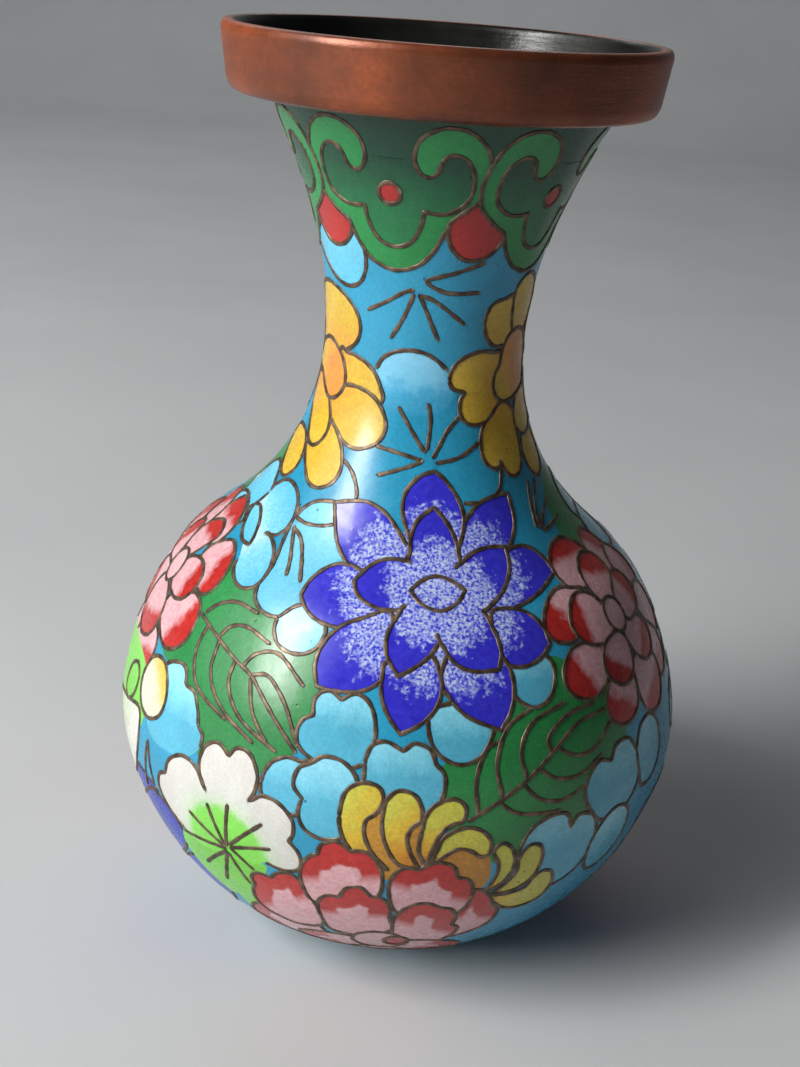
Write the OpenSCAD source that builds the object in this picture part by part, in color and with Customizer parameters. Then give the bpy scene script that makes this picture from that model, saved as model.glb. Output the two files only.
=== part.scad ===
// Small cloisonne vase: a spun copper vessel with a bulbous body, a waisted neck
// and a flared mouth closed by a plain copper band. Flat wires stand on a ground
// coat of enamel and fence off the coloured cells, one flower or cloud at a time.
// Millimetres, +Z up, origin at the centre of the foot's underside.
// Azimuth 0 faces -Y, and grows towards +X. Heights on the skin are arc lengths
// measured up the profile from the foot.

/* [Vessel] */
// Overall height
vase_height = 100; // [90:1:115]
// Radius of the belly at its widest
belly_radius = 32.1; // [28:0.1:34]
// Height of the widest point
belly_height = 25.7; // [22:0.1:30]
// Radius of the waist of the neck
waist_radius = 10.8; // [9:0.1:13]
// Radius of the skin just under the mouth band
collar_radius = 17.7; // [16:0.1:19]
// Copper thickness
copper_wall = 0.8; // [0.6:0.1:1.2]

/* [Mouth band] */
// Outer radius of the band at the top
band_radius = 22.7; // [21:0.1:24]
// Height of the band
band_height = 6.8; // [5:0.1:9]
// Thickness of the band's lip
band_lip = 1.5; // [1:0.1:2.5]

/* [Foot] */
// Outer radius of the foot ring
foot_radius = 12.4; // [10:0.1:14]
// Width of the foot ring
foot_width = 1.3; // [1:0.1:3]

/* [Enamel] */
// Depth from the finished skin down to the ground coat
cell_depth = 0.55; // [0.4:0.05:0.8]
// Thickness of the ground coat
ground_coat = 0.38; // [0.2:0.02:0.6]
// Thickness of the coat inside the vessel
inner_coat = 0.4; // [0.2:0.05:0.8]
// Width of a wire
wire_width = 0.42; // [0.3:0.02:0.6]
// Gap between a wire and its cell
cell_gap = 0.05; // [0.02:0.01:0.1]

/* [Hidden] */
$fn = 96;
slack = 0.03;
rad = 180 / PI;
copper_depth = cell_depth + ground_coat + 2 * slack;
inner_depth = copper_depth + copper_wall;
band_base = vase_height - band_height;

// ---- profile of the finished skin: four Bezier arcs, foot to mouth ----
arcs = [
  [[12.5, 1.0], [23.5, 2.1], [belly_radius, belly_height - 9.6], [belly_radius, belly_height]],
  [[belly_radius, belly_height], [belly_radius, belly_height + 6.1], [28.6, 42.4], [22.5, 46.9]],
  [[22.5, 46.9], [14.1, 53.0], [waist_radius, 61.3], [waist_radius, 68.4]],
  [[waist_radius, 68.4], [waist_radius, 78.5], [13.4, 84.0], [collar_radius, 93.2]]];
arc_steps = 9;
function bez(b, t) = pow(1 - t, 3) * b[0] + 3 * pow(1 - t, 2) * t * b[1]
  + 3 * (1 - t) * t * t * b[2] + pow(t, 3) * b[3];
skin = concat([arcs[0][0]], [for (b = arcs, i = [1:arc_steps]) bez(b, i / arc_steps)]);
function run_sum(v, i = 0, acc = 0) = i >= len(v) ? [] :
  let (a = acc + v[i]) concat([a], run_sum(v, i + 1, a));
steps = [for (i = [0:len(skin) - 1]) i == 0 ? 0 : norm(skin[i] - skin[i - 1])];
arc = run_sum(steps);
s_top = arc[len(arc) - 1];
r_table = [for (i = [0:len(skin) - 1]) [arc[i], skin[i][0]]];
z_table = [for (i = [0:len(skin) - 1]) [arc[i], skin[i][1]]];
function radius_at(s) = lookup(s, r_table);
function height_at(s) = lookup(s, z_table);
// outward normal of the profile, as [radial, up]
function normal_at(s) = let (a = max(0, s - 1.5), b = min(s_top, s + 1.5),
  dr = radius_at(b) - radius_at(a), dz = height_at(b) - height_at(a), l = norm([dr, dz])) [dz / l, -dr / l];
function below(s, d) = let (n = normal_at(s)) [radius_at(s) - d * n[0], height_at(s) - d * n[1]];
// point on the skin: anchor [azimuth, s], offset p in mm across and up, depth d
function on_skin(at, p, d) = let (s = min(s_top, max(0, at[1] + p[1])), q = below(s, d),
  a = at[0] + p[0] / max(6, radius_at(s)) * rad) [q[0] * sin(a), -q[0] * cos(a), q[1]];
// where a layer at depth d meets the flat seat of the mouth band
function top_of(d) = s_top - 0.12 - 0.47 * d;
function layer_line(s0, s1, d) = concat([below(s0, d)],
  [for (a = arc) if (a > s0 + 0.4 && a < s1 - 0.4) below(a, d)], [below(s1, d)]);
function reversed(v) = [for (i = [len(v) - 1:-1:0]) v[i]];
module coat(s0, s1, d0, d1) {
  rotate_extrude() polygon(concat(layer_line(s0, s1, d0), reversed(layer_line(s0, s1, d1))));
}

// ---- small closed shells laid on the skin ----
function turn(p, a) = [p[0] * cos(a) - p[1] * sin(a), p[0] * sin(a) + p[1] * cos(a)];
function moved(pts, by) = [for (p = pts) p + by];
function mirrored(pts) = [for (p = pts) [-p[0], p[1]]];
function unit(v) = v / max(0.0001, norm(v));
function side_normal(pts, i, closed) = let (n = len(pts),
  a = pts[closed ? (i + n - 1) % n : max(0, i - 1)], b = pts[closed ? (i + 1) % n : min(n - 1, i + 1)],
  t = unit(b - a)) [-t[1], t[0]];
function inset(pts, d) = [for (i = [0:len(pts) - 1]) pts[i] + d * side_normal(pts, i, true)];
function middle(pts) = let (n = len(pts)) [for (k = [0:1]) [for (p = pts) p[k]] * [for (p = pts) 1 / n]];
// a cell: cap, floor and wall over one outline, in m steps from the edge to its
// middle, or to the edge of a round hole there
function cell(at, outline, grow = 0, m = 1, hole = 0, mid = undef) = let (
  pts = inset(outline, wire_width / 2 + cell_gap - grow), n = len(pts), c = is_undef(mid) ? middle(pts) : mid,
  hub = [for (p = pts) c + hole * unit(p - c)],
  loops = hole > 0 ? m + 1 : m,
  flat = [for (k = [0:loops - 1], i = [0:n - 1]) pts[i] * (1 - k / m) + hub[i] * k / m],
  b = loops * n)
  [concat([for (p = flat) on_skin(at, p, 0.08)], [for (p = flat) on_skin(at, p, 0.45)],
     hole > 0 ? [] : [on_skin(at, c, 0.08), on_skin(at, c, 0.45)]),
   concat(
     [for (k = [0:1:loops - 2], i = [0:n - 1]) let (j = (i + 1) % n, o = k * n) each
       [[o + i, o + n + i, o + n + j], [o + i, o + n + j, o + j],
        [b + o + i, b + o + n + j, b + o + n + i], [b + o + i, b + o + j, b + o + n + j]]],
     [for (i = [0:n - 1]) let (j = (i + 1) % n) each [[i, j, b + j], [i, b + j, b + i]]],
     [for (i = [0:n - 1]) let (j = (i + 1) % n, o = (loops - 1) * n) each hole > 0
       ? [[o + i, b + o + j, o + j], [o + i, b + o + i, b + o + j]]
       : [[2 * b, o + j, o + i], [2 * b + 1, b + o + i, b + o + j]]])];
// a wire: a three-sided ridge along a line, open or closed
function wire(at, line, closed = false) = let (n = len(line), w = wire_width / 2, m = closed ? n : n - 1)
  [concat([for (i = [0:n - 1]) on_skin(at, line[i], 0)],
     [for (i = [0:n - 1]) on_skin(at, line[i] + w * side_normal(line, i, closed), 0.5)],
     [for (i = [0:n - 1]) on_skin(at, line[i] - w * side_normal(line, i, closed), 0.5)]),
   concat([for (i = [0:m - 1], k = [0:2]) let (j = (i + 1) % n, a = k * n, b = ((k + 1) % 3) * n)
       [a + i, b + i, b + j]],
     [for (i = [0:m - 1], k = [0:2]) let (j = (i + 1) % n, a = k * n, b = ((k + 1) % 3) * n)
       [a + i, b + j, a + j]],
     closed ? [] : [[0, 2 * n, n], [n - 1, 2 * n - 1, 3 * n - 1]])];
// a flat ribbon between two open lines with the same number of points
function ribbon(at, a, b) = let (n = len(a), q = concat(
    [for (p = a) on_skin(at, p, 0.08)], [for (p = b) on_skin(at, p, 0.08)],
    [for (p = b) on_skin(at, p, 0.45)], [for (p = a) on_skin(at, p, 0.45)]))
  [q, concat([for (i = [0:n - 2], k = [0:3]) let (u = k * n, v = ((k + 1) % 4) * n) [u + i, u + i + 1, v + i + 1]],
    [for (i = [0:n - 2], k = [0:3]) let (u = k * n, v = ((k + 1) % 4) * n) [u + i, v + i + 1, v + i]],
    [[0, n, 2 * n], [0, 2 * n, 3 * n], [n - 1, 3 * n - 1, 2 * n - 1], [n - 1, 4 * n - 1, 3 * n - 1]])];
// all shells of one node as a single polyhedron
function starts(shells, i = 0, acc = 0) = i >= len(shells) ? [] :
  concat([acc], starts(shells, i + 1, acc + len(shells[i][0])));
module laid(shells) {
  first = starts(shells);
  polyhedron(points = [for (s = shells) each s[0]],
    faces = [for (i = [0:len(shells) - 1]) each [for (f = shells[i][1]) [for (v = f) v + first[i]]]]);
}

// ---- outlines, in mm about a flower's middle ----
// petal from r0 to r1 along dir; tip and root set how pointed each end is
// (0.5 is round, 1 comes to a point), notch draws the tip in
function petal(dir, r0, r1, w, tip = 1, root = 0.5, notch = 0, n = 10) = let (
  a = (r1 - r0) / 2, m = (r0 + r1) / 2, u0 = (root - tip) / (root + tip),
  k = 1 / (pow(1 - u0, tip) * pow(1 + u0, root)))
  [for (i = [0:n - 1]) let (t = 360 * i / n, u = cos(t),
    v = sign(sin(t)) * w / 2 * k * pow(max(0, 1 - u), tip) * pow(max(0, 1 + u), root))
    turn([m + a * u - (i == 0 ? notch : 0), abs(v) < 0.001 ? 0 : v], dir)];
// the part of an outline away from its root, as an open line
function rim_of(pts, skip) = let (n = len(pts)) [for (i = [-(n / 2 - skip):n / 2 - skip]) pts[(i + n) % n]];
function disc(r, n = 10, sy = 1) = [for (i = [0:n - 1]) [r * cos(360 * i / n), sy * r * sin(360 * i / n)]];
function scallop(rx, ry, lobes, a0 = 0, per = 3) = let (n = lobes * per) [for (i = [0:n - 1])
  let (t = 360 * i / n, f = i % per == 0 ? 0.82 : 1) [rx * f * cos(t + a0), ry * f * sin(t + a0)]];

// ---- collar: a row of cloud heads with a red tongue between each two ----
heads = 5;
head_at = [for (i = [0:heads - 1]) [-17 + 360 / heads * i, 100]];
tongue_at = [for (i = [0:heads - 1]) [-53 + 360 / heads * i, 97]];
outer_half = [[4.2, 4.0], [3.3, 3.2], [2.4, 4.3], [2.7, 6.6], [4.7, 8.1], [7.2, 7.9], [9.2, 6.0], [9.9, 3.0],
  [9.0, -0.3], [7.3, -1.9], [5.6, -2.7], [4.8, -3.8], [3.9, -5.3], [2.2, -6.5], [0, -7.0]];
inner_half = [[4.2, 4.0], [4.8, 5.0], [5.2, 5.5], [6.1, 5.7], [7.0, 5.0], [7.9, 3.7], [8.0, 2.0], [7.5, 0.8],
  [6.3, -0.4], [5.0, -0.7], [3.6, -0.5], [3.0, -1.8], [2.3, -3.4], [1.2, -4.3], [0, -4.5]];
function both(half) = concat(half, reversed([for (i = [0:len(half) - 2]) [-half[i][0], half[i][1]]]));
outer_line = both(outer_half);
inner_line = both(inner_half);
function between(a, b, f) = [for (i = [0:len(a) - 1]) a[i] * (1 - f) + b[i] * f];
field_half = [[1.3, -4.1], [2.3, -3.2], [3.0, -1.7], [3.7, -0.7], [5.0, -0.8], [6.3, -0.4], [7.4, 0.8],
  [7.8, 2.0], [7.6, 3.7], [6.7, 4.7], [5.3, 4.6], [3.6, 3.6], [2.4, 3.0], [1.2, 3.3]];
head_field = concat([[0, -4.3]], field_half, reversed(mirrored(field_half)));
tongue = [[0, 2.6], [-1.6, 1.7], [-2.9, 0.0], [-2.9, -1.2], [-1.7, -2.2], [0, -2.6],
  [1.7, -2.2], [2.9, -1.2], [2.9, 0.0], [1.6, 1.7]];

module collar_cloud_wires() { color("#6e6155") laid([for (a = head_at) each [
  wire(a, outer_line), wire(a, [for (i = [1:len(inner_line) - 2]) inner_line[i]])]]); }
module collar_cloud_bands() { color("#4fb06e") laid([for (a = head_at) ribbon(a,
  [for (i = [2:len(outer_line) - 3]) between(outer_line, inner_line, 0.24)[i]],
  [for (i = [2:len(outer_line) - 3]) between(outer_line, inner_line, 0.76)[i]])]); }
module collar_cloud_fields() { color("#2d9655") laid([for (a = head_at)
  cell(a, head_field, 0.1, 2, 1.25, [0, 1.1])]); }
module collar_red_dots() { color("#c8413c") laid([for (a = head_at) cell(a, moved(disc(0.95, 8), [0, 1.1]), 0.1)]); }
module collar_red_pendants() { color("#c8413c") laid([for (a = tongue_at) cell(a, reversed(tongue))]); }
module collar_pendant_wires() { color("#6e6155") laid([for (a = tongue_at)
  wire(a, [for (i = [2:8]) tongue[i] - [0, 0.15]])]); }

// ---- neck: yellow flowers, cut wires and half discs ----
flower_at = [[-66, 80.5], [58, 80.5], [176, 80.5]];
yellow = [[92, 3.0, 9.2, 7.2], [38, 3.4, 8.6, 4.4], [-18, 3.3, 10.0, 5.6], [-62, 3.4, 12.4, 5.4],
  [-108, 3.4, 12.4, 5.4], [198, 3.3, 10.0, 5.6], [142, 3.4, 8.6, 4.4]];
module neck_flower_petals() { color("#f0d750") laid([for (a = flower_at, p = yellow)
  cell(a, petal(p[0], p[1], p[2], p[3], 0.5, 0.6, 0.3), 0, 2)]); }
module neck_flower_centres() { color("#f5b450") laid([for (a = flower_at) cell(a, disc(3.0, 12), 0, 2)]); }
module neck_flower_wires() { color("#6e6155") laid([for (a = flower_at) each concat([wire(a, disc(3.0, 12), true)],
  [for (p = yellow) wire(a, rim_of(petal(p[0], p[1], p[2], p[3], 0.5, 0.6, 0.3), 1))])]); }
fan_at = [[-5, 90.6], [4, 74.0], [115, 90.6], [118, 74.0], [236, 90.6], [236, 74.0]];
fan_down = [[205, 5.6], [242, 4.8], [297, 4.8], [330, 5.4]];
fan_up = [[122, 5.2], [88, 5.0], [50, 5.2], [14, 5.4], [176, 5.0], [212, 4.8]];
function spoke(dir, r1) = [turn([0.5, 0], dir), turn([(0.5 + r1) / 2, 0.12], dir), turn([r1, 0], dir)];
disc_at = [[-6, 80.6], [117, 80.6], [236, 80.6]];
function half_disc(r, n = 6) = [for (i = [0:n]) [r * cos(180 * i / n), 0.95 * r * sin(180 * i / n)]];
module neck_half_discs() { color("#7dc3eb") laid([for (a = disc_at) cell(a, half_disc(4.1), 0, 2)]); }
module neck_cut_wires() { color("#6e6155") laid(concat(
  [for (i = [0:len(fan_at) - 1], f = i % 2 == 0 ? fan_down : fan_up) wire(fan_at[i], spoke(f[0], f[1]))],
  [for (a = disc_at) wire(a, half_disc(4.1))],
  [for (i = [0:2]) wire([0 + 120 * i, 92.2], [[6.2, 1.9], [3, 0.9], [0, 0], [1.6, -0.9], [6.2, -1.1]])])); }

// ---- body: one blue lotus each side ----
lotus_at = [[9, 59.4], [184, 57.5]];
lotus_in = [[90, 9.0], [172, 8.7], [245, 9.4], [305, 9.6], [26, 9.4]];
lotus_out = [[91, 13.0], [142, 13.9], [188, 14.4], [219, 16.4], [255, 15.1], [293, 15.7], [331, 14.1],
  [11, 13.8], [47, 13.8]];
eye = petal(0, -2.9, 2.9, 3.2, 0.8, 0.8);
function in_petal(p) = petal(p[0], 2.2, p[1], 5.6, 0.75, 0.55);
function out_petal(p) = petal(p[0], p[1] - 5.6, p[1], 5.4, 0.8, 0.55);
module lotus_inner_petals() { color("#5c5fd6") laid([for (a = lotus_at, p = lotus_in) cell(a, in_petal(p))]); }
module lotus_outer_petals() { color("#4038c8") laid([for (a = lotus_at, p = lotus_out) cell(a, out_petal(p))]); }
module lotus_eyes() { color("#b4bef0") laid([for (a = lotus_at) cell(a, petal(0, -2.2, 2.2, 2.4, 0.8, 0.8))]); }
module lotus_wires() { color("#6e6155") laid([for (a = lotus_at) each concat([wire(a, petal(0, -2.1, 2.1, 2.3, 0.8, 0.8), true)],
  [for (p = lotus_in) wire(a, rim_of(in_petal(p), 1))], [for (p = lotus_out) wire(a, rim_of(out_petal(p), 1))])]); }

// ---- body: pink chrysanthemums with two rings of petals ----
pink_at = [[-73, 52.3], [61, 53]];
pink_in = [for (i = [0:5]) [8 + 60 * i, 2.7, 7.1, 4.6]];
pink_out = [for (i = [0:7]) [28 + 45 * i, 7.3, 12.2, 6.2]];
module pink_flower_inner_petals() { color("#f0cdd2") laid([for (a = pink_at, p = pink_in)
  cell(a, petal(p[0], p[1], p[2], p[3], 0.5, 0.7))]); }
module pink_flower_outer_petals() { color("#d2504b") laid([for (a = pink_at, p = pink_out)
  cell(a, petal(p[0], p[1], p[2], p[3], 0.5, 0.6))]); }
module pink_flower_centres() { color("#f0cdd2") laid([for (a = pink_at) cell(a, disc(2.4, 12))]); }
module pink_flower_wires() { color("#6e6155") laid([for (a = pink_at) each concat([wire(a, disc(2.4, 12), true)],
  [for (p = concat(pink_in, pink_out)) wire(a, rim_of(petal(p[0], p[1], p[2], p[3], 0.5, 0.65), 1))])]); }

// ---- body: leaves drawn by their veins alone ----
// [azimuth, s, direction of the midrib, 1 or -1 for the way the veins sweep]
leaf_at = [[-33, 46.5, -38, 1], [31, 41.5, 22, 1], [142, 41, 28, 1], [228, 45, -32, 1]];
function leaf_vein(x, side, long) = [for (i = [0:3]) let (t = i / 3)
  [x + long * (t * t * 0.95 + 0.02), side * long * 0.62 * sin(90 * min(1, t * 1.15))]];
function leaf_lines(dir, way) = [for (l = concat([[[-9, -0.4], [-3, 0.3], [3, 0.2], [9, -0.6]]],
  [for (k = [0:3]) leaf_vein(-7.2 + 3.3 * k, 1, 7.4 - k)], [for (k = [0:3]) leaf_vein(-7.2 + 3.3 * k, -1, 7.4 - k)]))
  [for (p = l) turn([p[0], way * p[1]], dir)]];
module leaf_vein_wires() { color("#5a4f45") laid([for (l = leaf_at, v = leaf_lines(l[2], l[3])) wire([l[0], l[1]], v)]); }

// ---- lower body: white flower with a lime heart and radial wires ----
white_at = [[-32, 28], [112, 46]];
white_dirs = [92, 22, 232, 158];
module white_flower_petals() { color("#f2f2ec") laid([for (a = white_at, d = white_dirs)
  cell(a, petal(d, 6.2, 11.6, 7.4, 0.5, 0.55, 0.6))]); }
module white_flower_centres() { color("#9bee73") laid([for (a = white_at, k = [0:9])
  cell(a, petal(18 + 36 * k, 1.3, 5.7, 2.5, 0.55, 1, 0, 6), 0.1)]); }
module white_flower_wires() { color("#5a4f45") laid([for (a = white_at) each concat(
  [for (k = [0:9]) wire(a, spoke(36 * k, 5.9))],
  [for (d = white_dirs) wire(a, rim_of(petal(d, 6.2, 11.6, 7.4, 0.5, 0.55, 0.6), 1))])]); }

// ---- scalloped pale clouds and single round lobes ----
// [azimuth, s, half width, half height, lobes]
clouds = [[-11, 45, 4.3, 2.6, 6], [2.5, 40.6, 3.6, 2.2, 5], [-12.5, 37, 3.6, 2.6, 5], [-48, 40.6, 4.6, 4.0, 6],
  [45, 35.5, 3.6, 3.0, 6], [60, 34, 3.6, 3.6, 6], [29.5, 48.6, 2.0, 1.8, 4], [12, 42.6, 2.2, 1.6, 4],
  [100, 28, 4.6, 3.6, 6], [152, 32, 4.4, 3.4, 6], [206, 36, 4.4, 3.4, 6], [236, 60, 3.4, 3.0, 5], [132, 62, 3.2, 3.0, 5]];
module cloud_cells() { color("#7dc3eb") laid([for (c = clouds) cell([c[0], c[1]], scallop(c[2], c[3], c[4]), 0, c[2] > 4 ? 2 : 1)]); }
module cloud_wires() { color("#6e6155") laid([for (c = clouds) wire([c[0], c[1]], scallop(c[2], c[3], c[4]), true)]); }

// ---- pale-blue flowers below the neck ----
pale_at = [[-58, 61.6], [108, 63.5]];
pale_dirs = [[52, 8.2], [-50, 8.6], [128, 8.2], [232, 8.2]];
module pale_flower_petals() { color("#8ecbee") laid([for (a = pale_at, p = pale_dirs) cell(a, petal(p[0], 3.0, p[1], 5.0, 0.5, 0.6))]); }
module pale_flower_eyes() { color("#8ecbee") laid([for (a = pale_at) cell(a, petal(-24, -3.1, 3.1, 2.3, 0.8, 0.8))]); }
module pale_flower_wires() { color("#6e6155") laid([for (a = pale_at) each concat([wire(a, petal(-24, -3.1, 3.1, 2.3, 0.8, 0.8), true)],
  [for (p = pale_dirs) wire(a, rim_of(petal(p[0], 3.0, p[1], 5.0, 0.5, 0.6), 1))])]); }

// ---- lower body: yellow quill flower, a fan of curled petals ----
quill_at = [[8, 29.4], [208, 24]];
quills = [[140, 11.4], [112, 10.0], [84, 9.2], [56, 8.4], [30, 8.6], [6, 10.2]];
module quill_flower_petals() { color("#ecc84e") laid([for (a = quill_at, p = quills) cell(a, petal(p[0], 3.4, p[1], 3.0, 0.5, 1, 0, 8))]); }
module quill_flower_wires() { color("#5a4f45") laid([for (a = quill_at, p = quills) wire(a, petal(p[0], 3.4, p[1], 3.0, 0.5, 1, 0, 8), true)]); }

// ---- lower body: red and pink peonies, seen half under the belly ----
peony_at = [[-1, 17.5], [150, 18]];
peony = [[128, 7.4, 13.4, 7.4], [52, 7.4, 13.4, 7.4], [168, 7.8, 13.2, 6.4], [12, 7.8, 13.2, 6.4], [112, 2.4, 7.0, 6.2], [48, 2.4, 7.0, 6.2],
  [180, 2.4, 7.2, 4.6], [0, 2.4, 7.2, 4.6], [250, 2.4, 7.2, 5.2], [300, 2.4, 7.2, 5.2]];
module peony_petals() { color("#d0403c") laid([for (a = peony_at, p = peony) cell(a, petal(p[0], p[1], p[2], p[3], 0.5, 0.55, 0.5))]); }
module peony_centres() { color("#f0cdd2") laid([for (a = peony_at) cell(a, disc(2.1, 10, 0.9))]); }
module peony_wires() { color("#5a4f45") laid([for (a = peony_at) each concat([wire(a, disc(2.1, 10, 0.9), true)],
  [for (p = peony) wire(a, rim_of(petal(p[0], p[1], p[2], p[3], 0.5, 0.55, 0.5), 1))])]); }

// ---- lower body: long-petalled blue flowers at the sides ----
blue_at = [[-64, 22], [76, 26]];
blue_dirs = [for (i = [0:6]) [12 + 360 / 7 * i, 1.6, 9.2, 4.2]];
module blue_flower_petals() { color("#3c5fc8") laid([for (a = blue_at, p = blue_dirs) cell(a, petal(p[0], p[1], p[2], p[3], 0.55, 1, 0, 8))]); }
module blue_flower_wires() { color("#5a4f45") laid([for (a = blue_at, p = blue_dirs) wire(a, rim_of(petal(p[0], p[1], p[2], p[3], 0.55, 1, 0, 8), 1))]); }

// ---- vessel ----
module copper_body_wall() { color("#a0613f") rotate_extrude() polygon(concat(
  [[0, 1.95]], layer_line(0.2, top_of(copper_depth), copper_depth),
  reversed(layer_line(1.0, top_of(inner_depth), inner_depth)), [[0, 1.95 + copper_wall]])); }
module inside_enamel() { color("#5d6e66") rotate_extrude() polygon(concat(
  [[0, 1.95 + copper_wall + slack]], layer_line(1.2, top_of(inner_depth + slack), inner_depth + slack),
  reversed(layer_line(2.2, top_of(inner_depth + inner_coat), inner_depth + inner_coat)),
  [[0, 1.95 + copper_wall + inner_coat]])); }
module mouth_rim_band() { color("#8f5238") rotate_extrude() polygon([
  [collar_radius - 2.9, band_base + 0.06], [band_radius - 1.9, band_base + 0.06], [band_radius - 1.1, band_base + 0.35],
  [band_radius - 0.7, band_base + 1.0], [band_radius, vase_height - 0.55], [band_radius - 0.15, vase_height - 0.16],
  [band_radius - 0.5, vase_height], [band_radius - band_lip + 0.3, vase_height],
  [band_radius - band_lip, vase_height - 0.3], [band_radius - band_lip - 0.5, band_base + 2.6],
  [band_radius - band_lip - 1.3, band_base + 1.5], [collar_radius - 1.6, band_base + 0.9],
  [collar_radius - 2.9, band_base + 0.4]]); }
module foot_ring() { color("#8f5238") rotate_extrude() polygon([
  [foot_radius - foot_width, 0.2], [foot_radius - foot_width + 0.2, 0], [foot_radius - 0.3, 0], [foot_radius, 0.3],
  [foot_radius - 0.05, 1.92], [foot_radius - foot_width, 1.92]]); }
module base_enamel() { color("#3f8f9a") translate([0, 0, 1.55])
  cylinder(r = foot_radius - foot_width - slack, h = 0.37); }
collar_from = 96.5;
neck_from = 57.5;
module collar_ground_enamel() { color("#2e7d52") coat(collar_from, top_of(cell_depth), cell_depth, cell_depth + ground_coat); }
module neck_ground_enamel() { color("#41a5d2") coat(neck_from, collar_from - slack, cell_depth, cell_depth + ground_coat); }
module body_ground_enamel() { color("#3f9fb4") coat(0.4, neck_from - slack, cell_depth, cell_depth + ground_coat); }

copper_body_wall();
mouth_rim_band();
foot_ring();
inside_enamel();
base_enamel();
collar_ground_enamel();
neck_ground_enamel();
body_ground_enamel();
collar_cloud_wires();
collar_cloud_bands();
collar_cloud_fields();
collar_red_dots();
collar_red_pendants();
collar_pendant_wires();
neck_cut_wires();
neck_half_discs();
neck_flower_wires();
neck_flower_petals();
neck_flower_centres();
lotus_wires();
lotus_outer_petals();
lotus_inner_petals();
lotus_eyes();
pink_flower_wires();
pink_flower_outer_petals();
pink_flower_inner_petals();
pink_flower_centres();
leaf_vein_wires();
white_flower_wires();
white_flower_petals();
white_flower_centres();
cloud_wires();
cloud_cells();
pale_flower_wires();
pale_flower_petals();
pale_flower_eyes();
quill_flower_wires();
quill_flower_petals();
peony_wires();
peony_petals();
peony_centres();
blue_flower_wires();
blue_flower_petals();
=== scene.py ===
"""Looks for the small cloisonne vase: enamel cells, flat wires, copper band, studio."""

import math

import bpy
import numpy as np
from mathutils import Matrix, Vector
from mathutils.geometry import delaunay_2d_cdt
from mathutils.kdtree import KDTree


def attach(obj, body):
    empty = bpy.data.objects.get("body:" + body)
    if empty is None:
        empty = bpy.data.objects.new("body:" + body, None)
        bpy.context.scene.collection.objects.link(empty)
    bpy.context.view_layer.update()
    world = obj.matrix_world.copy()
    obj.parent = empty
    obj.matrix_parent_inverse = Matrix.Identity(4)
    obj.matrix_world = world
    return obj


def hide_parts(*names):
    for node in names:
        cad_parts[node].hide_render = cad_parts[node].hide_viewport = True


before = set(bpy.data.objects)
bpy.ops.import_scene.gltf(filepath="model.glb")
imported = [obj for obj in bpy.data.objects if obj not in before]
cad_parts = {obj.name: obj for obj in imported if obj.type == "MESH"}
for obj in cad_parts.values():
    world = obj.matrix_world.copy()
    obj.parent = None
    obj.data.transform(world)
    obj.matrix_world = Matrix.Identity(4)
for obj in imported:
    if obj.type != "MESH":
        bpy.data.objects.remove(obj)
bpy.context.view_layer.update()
MM = 0.001
DEG = 180 / math.pi

# ------------------------------------------------------------------ the skin
# The same four Bezier arcs as the CAD profile, foot to mouth, in mm.
ARCS = [[(12.5, 1.0), (23.5, 2.1), (32.1, 16.1), (32.1, 25.7)],
        [(32.1, 25.7), (32.1, 31.8), (28.6, 42.4), (22.5, 46.9)],
        [(22.5, 46.9), (14.1, 53.0), (10.8, 61.3), (10.8, 68.4)],
        [(10.8, 68.4), (10.8, 78.5), (13.4, 84.0), (17.7, 93.2)]]


def bezier(b, n=240):
    t = np.linspace(0, 1, n + 1)[:, None]
    b = np.array(b, float)
    return (1 - t) ** 3 * b[0] + 3 * (1 - t) ** 2 * t * b[1] + 3 * (1 - t) * t * t * b[2] + t ** 3 * b[3]


PROFILE = np.vstack([bezier(ARCS[0])] + [bezier(a)[1:] for a in ARCS[1:]])
ARC = np.concatenate([[0], np.cumsum(np.hypot(*np.diff(PROFILE, axis=0).T))])
S_TOP = ARC[-1]
EASED_OVER = 61  # profile points over which the joins of the arcs are eased in the normals


def eased(values):
    padded = np.pad(values, EASED_OVER // 2, mode="edge")
    return np.convolve(padded, np.ones(EASED_OVER) / EASED_OVER, "valid")


SLOPE = np.gradient(PROFILE, ARC, axis=0)
SLOPE = np.stack([eased(SLOPE[:, k]) for k in (0, 1)], 1)
SLOPE /= np.linalg.norm(SLOPE, axis=1)[:, None]


def radius(s):
    return np.interp(s, ARC, PROFILE[:, 0])


def height(s):
    return np.interp(s, ARC, PROFILE[:, 1])


def normal2(s):
    """Outward normal as (radial, up)."""
    return np.interp(s, ARC, SLOPE[:, 1]), -np.interp(s, ARC, SLOPE[:, 0])


def on_skin(p, depth=0.0):
    """Points (azimuth in degrees, arc length in mm) to metres, a depth in mm below the skin."""
    az, s = np.radians(p[:, 0]), p[:, 1]
    nr, nz = normal2(s)
    r = radius(s) - depth * nr
    z = height(s) - depth * nz
    return np.stack([r * np.sin(az), -r * np.cos(az), z], 1) * MM


def skin_normals(p):
    az = np.radians(p[:, 0])
    nr, nz = normal2(p[:, 1])
    return np.stack([nr * np.sin(az), -nr * np.cos(az), nz], 1)


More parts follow.
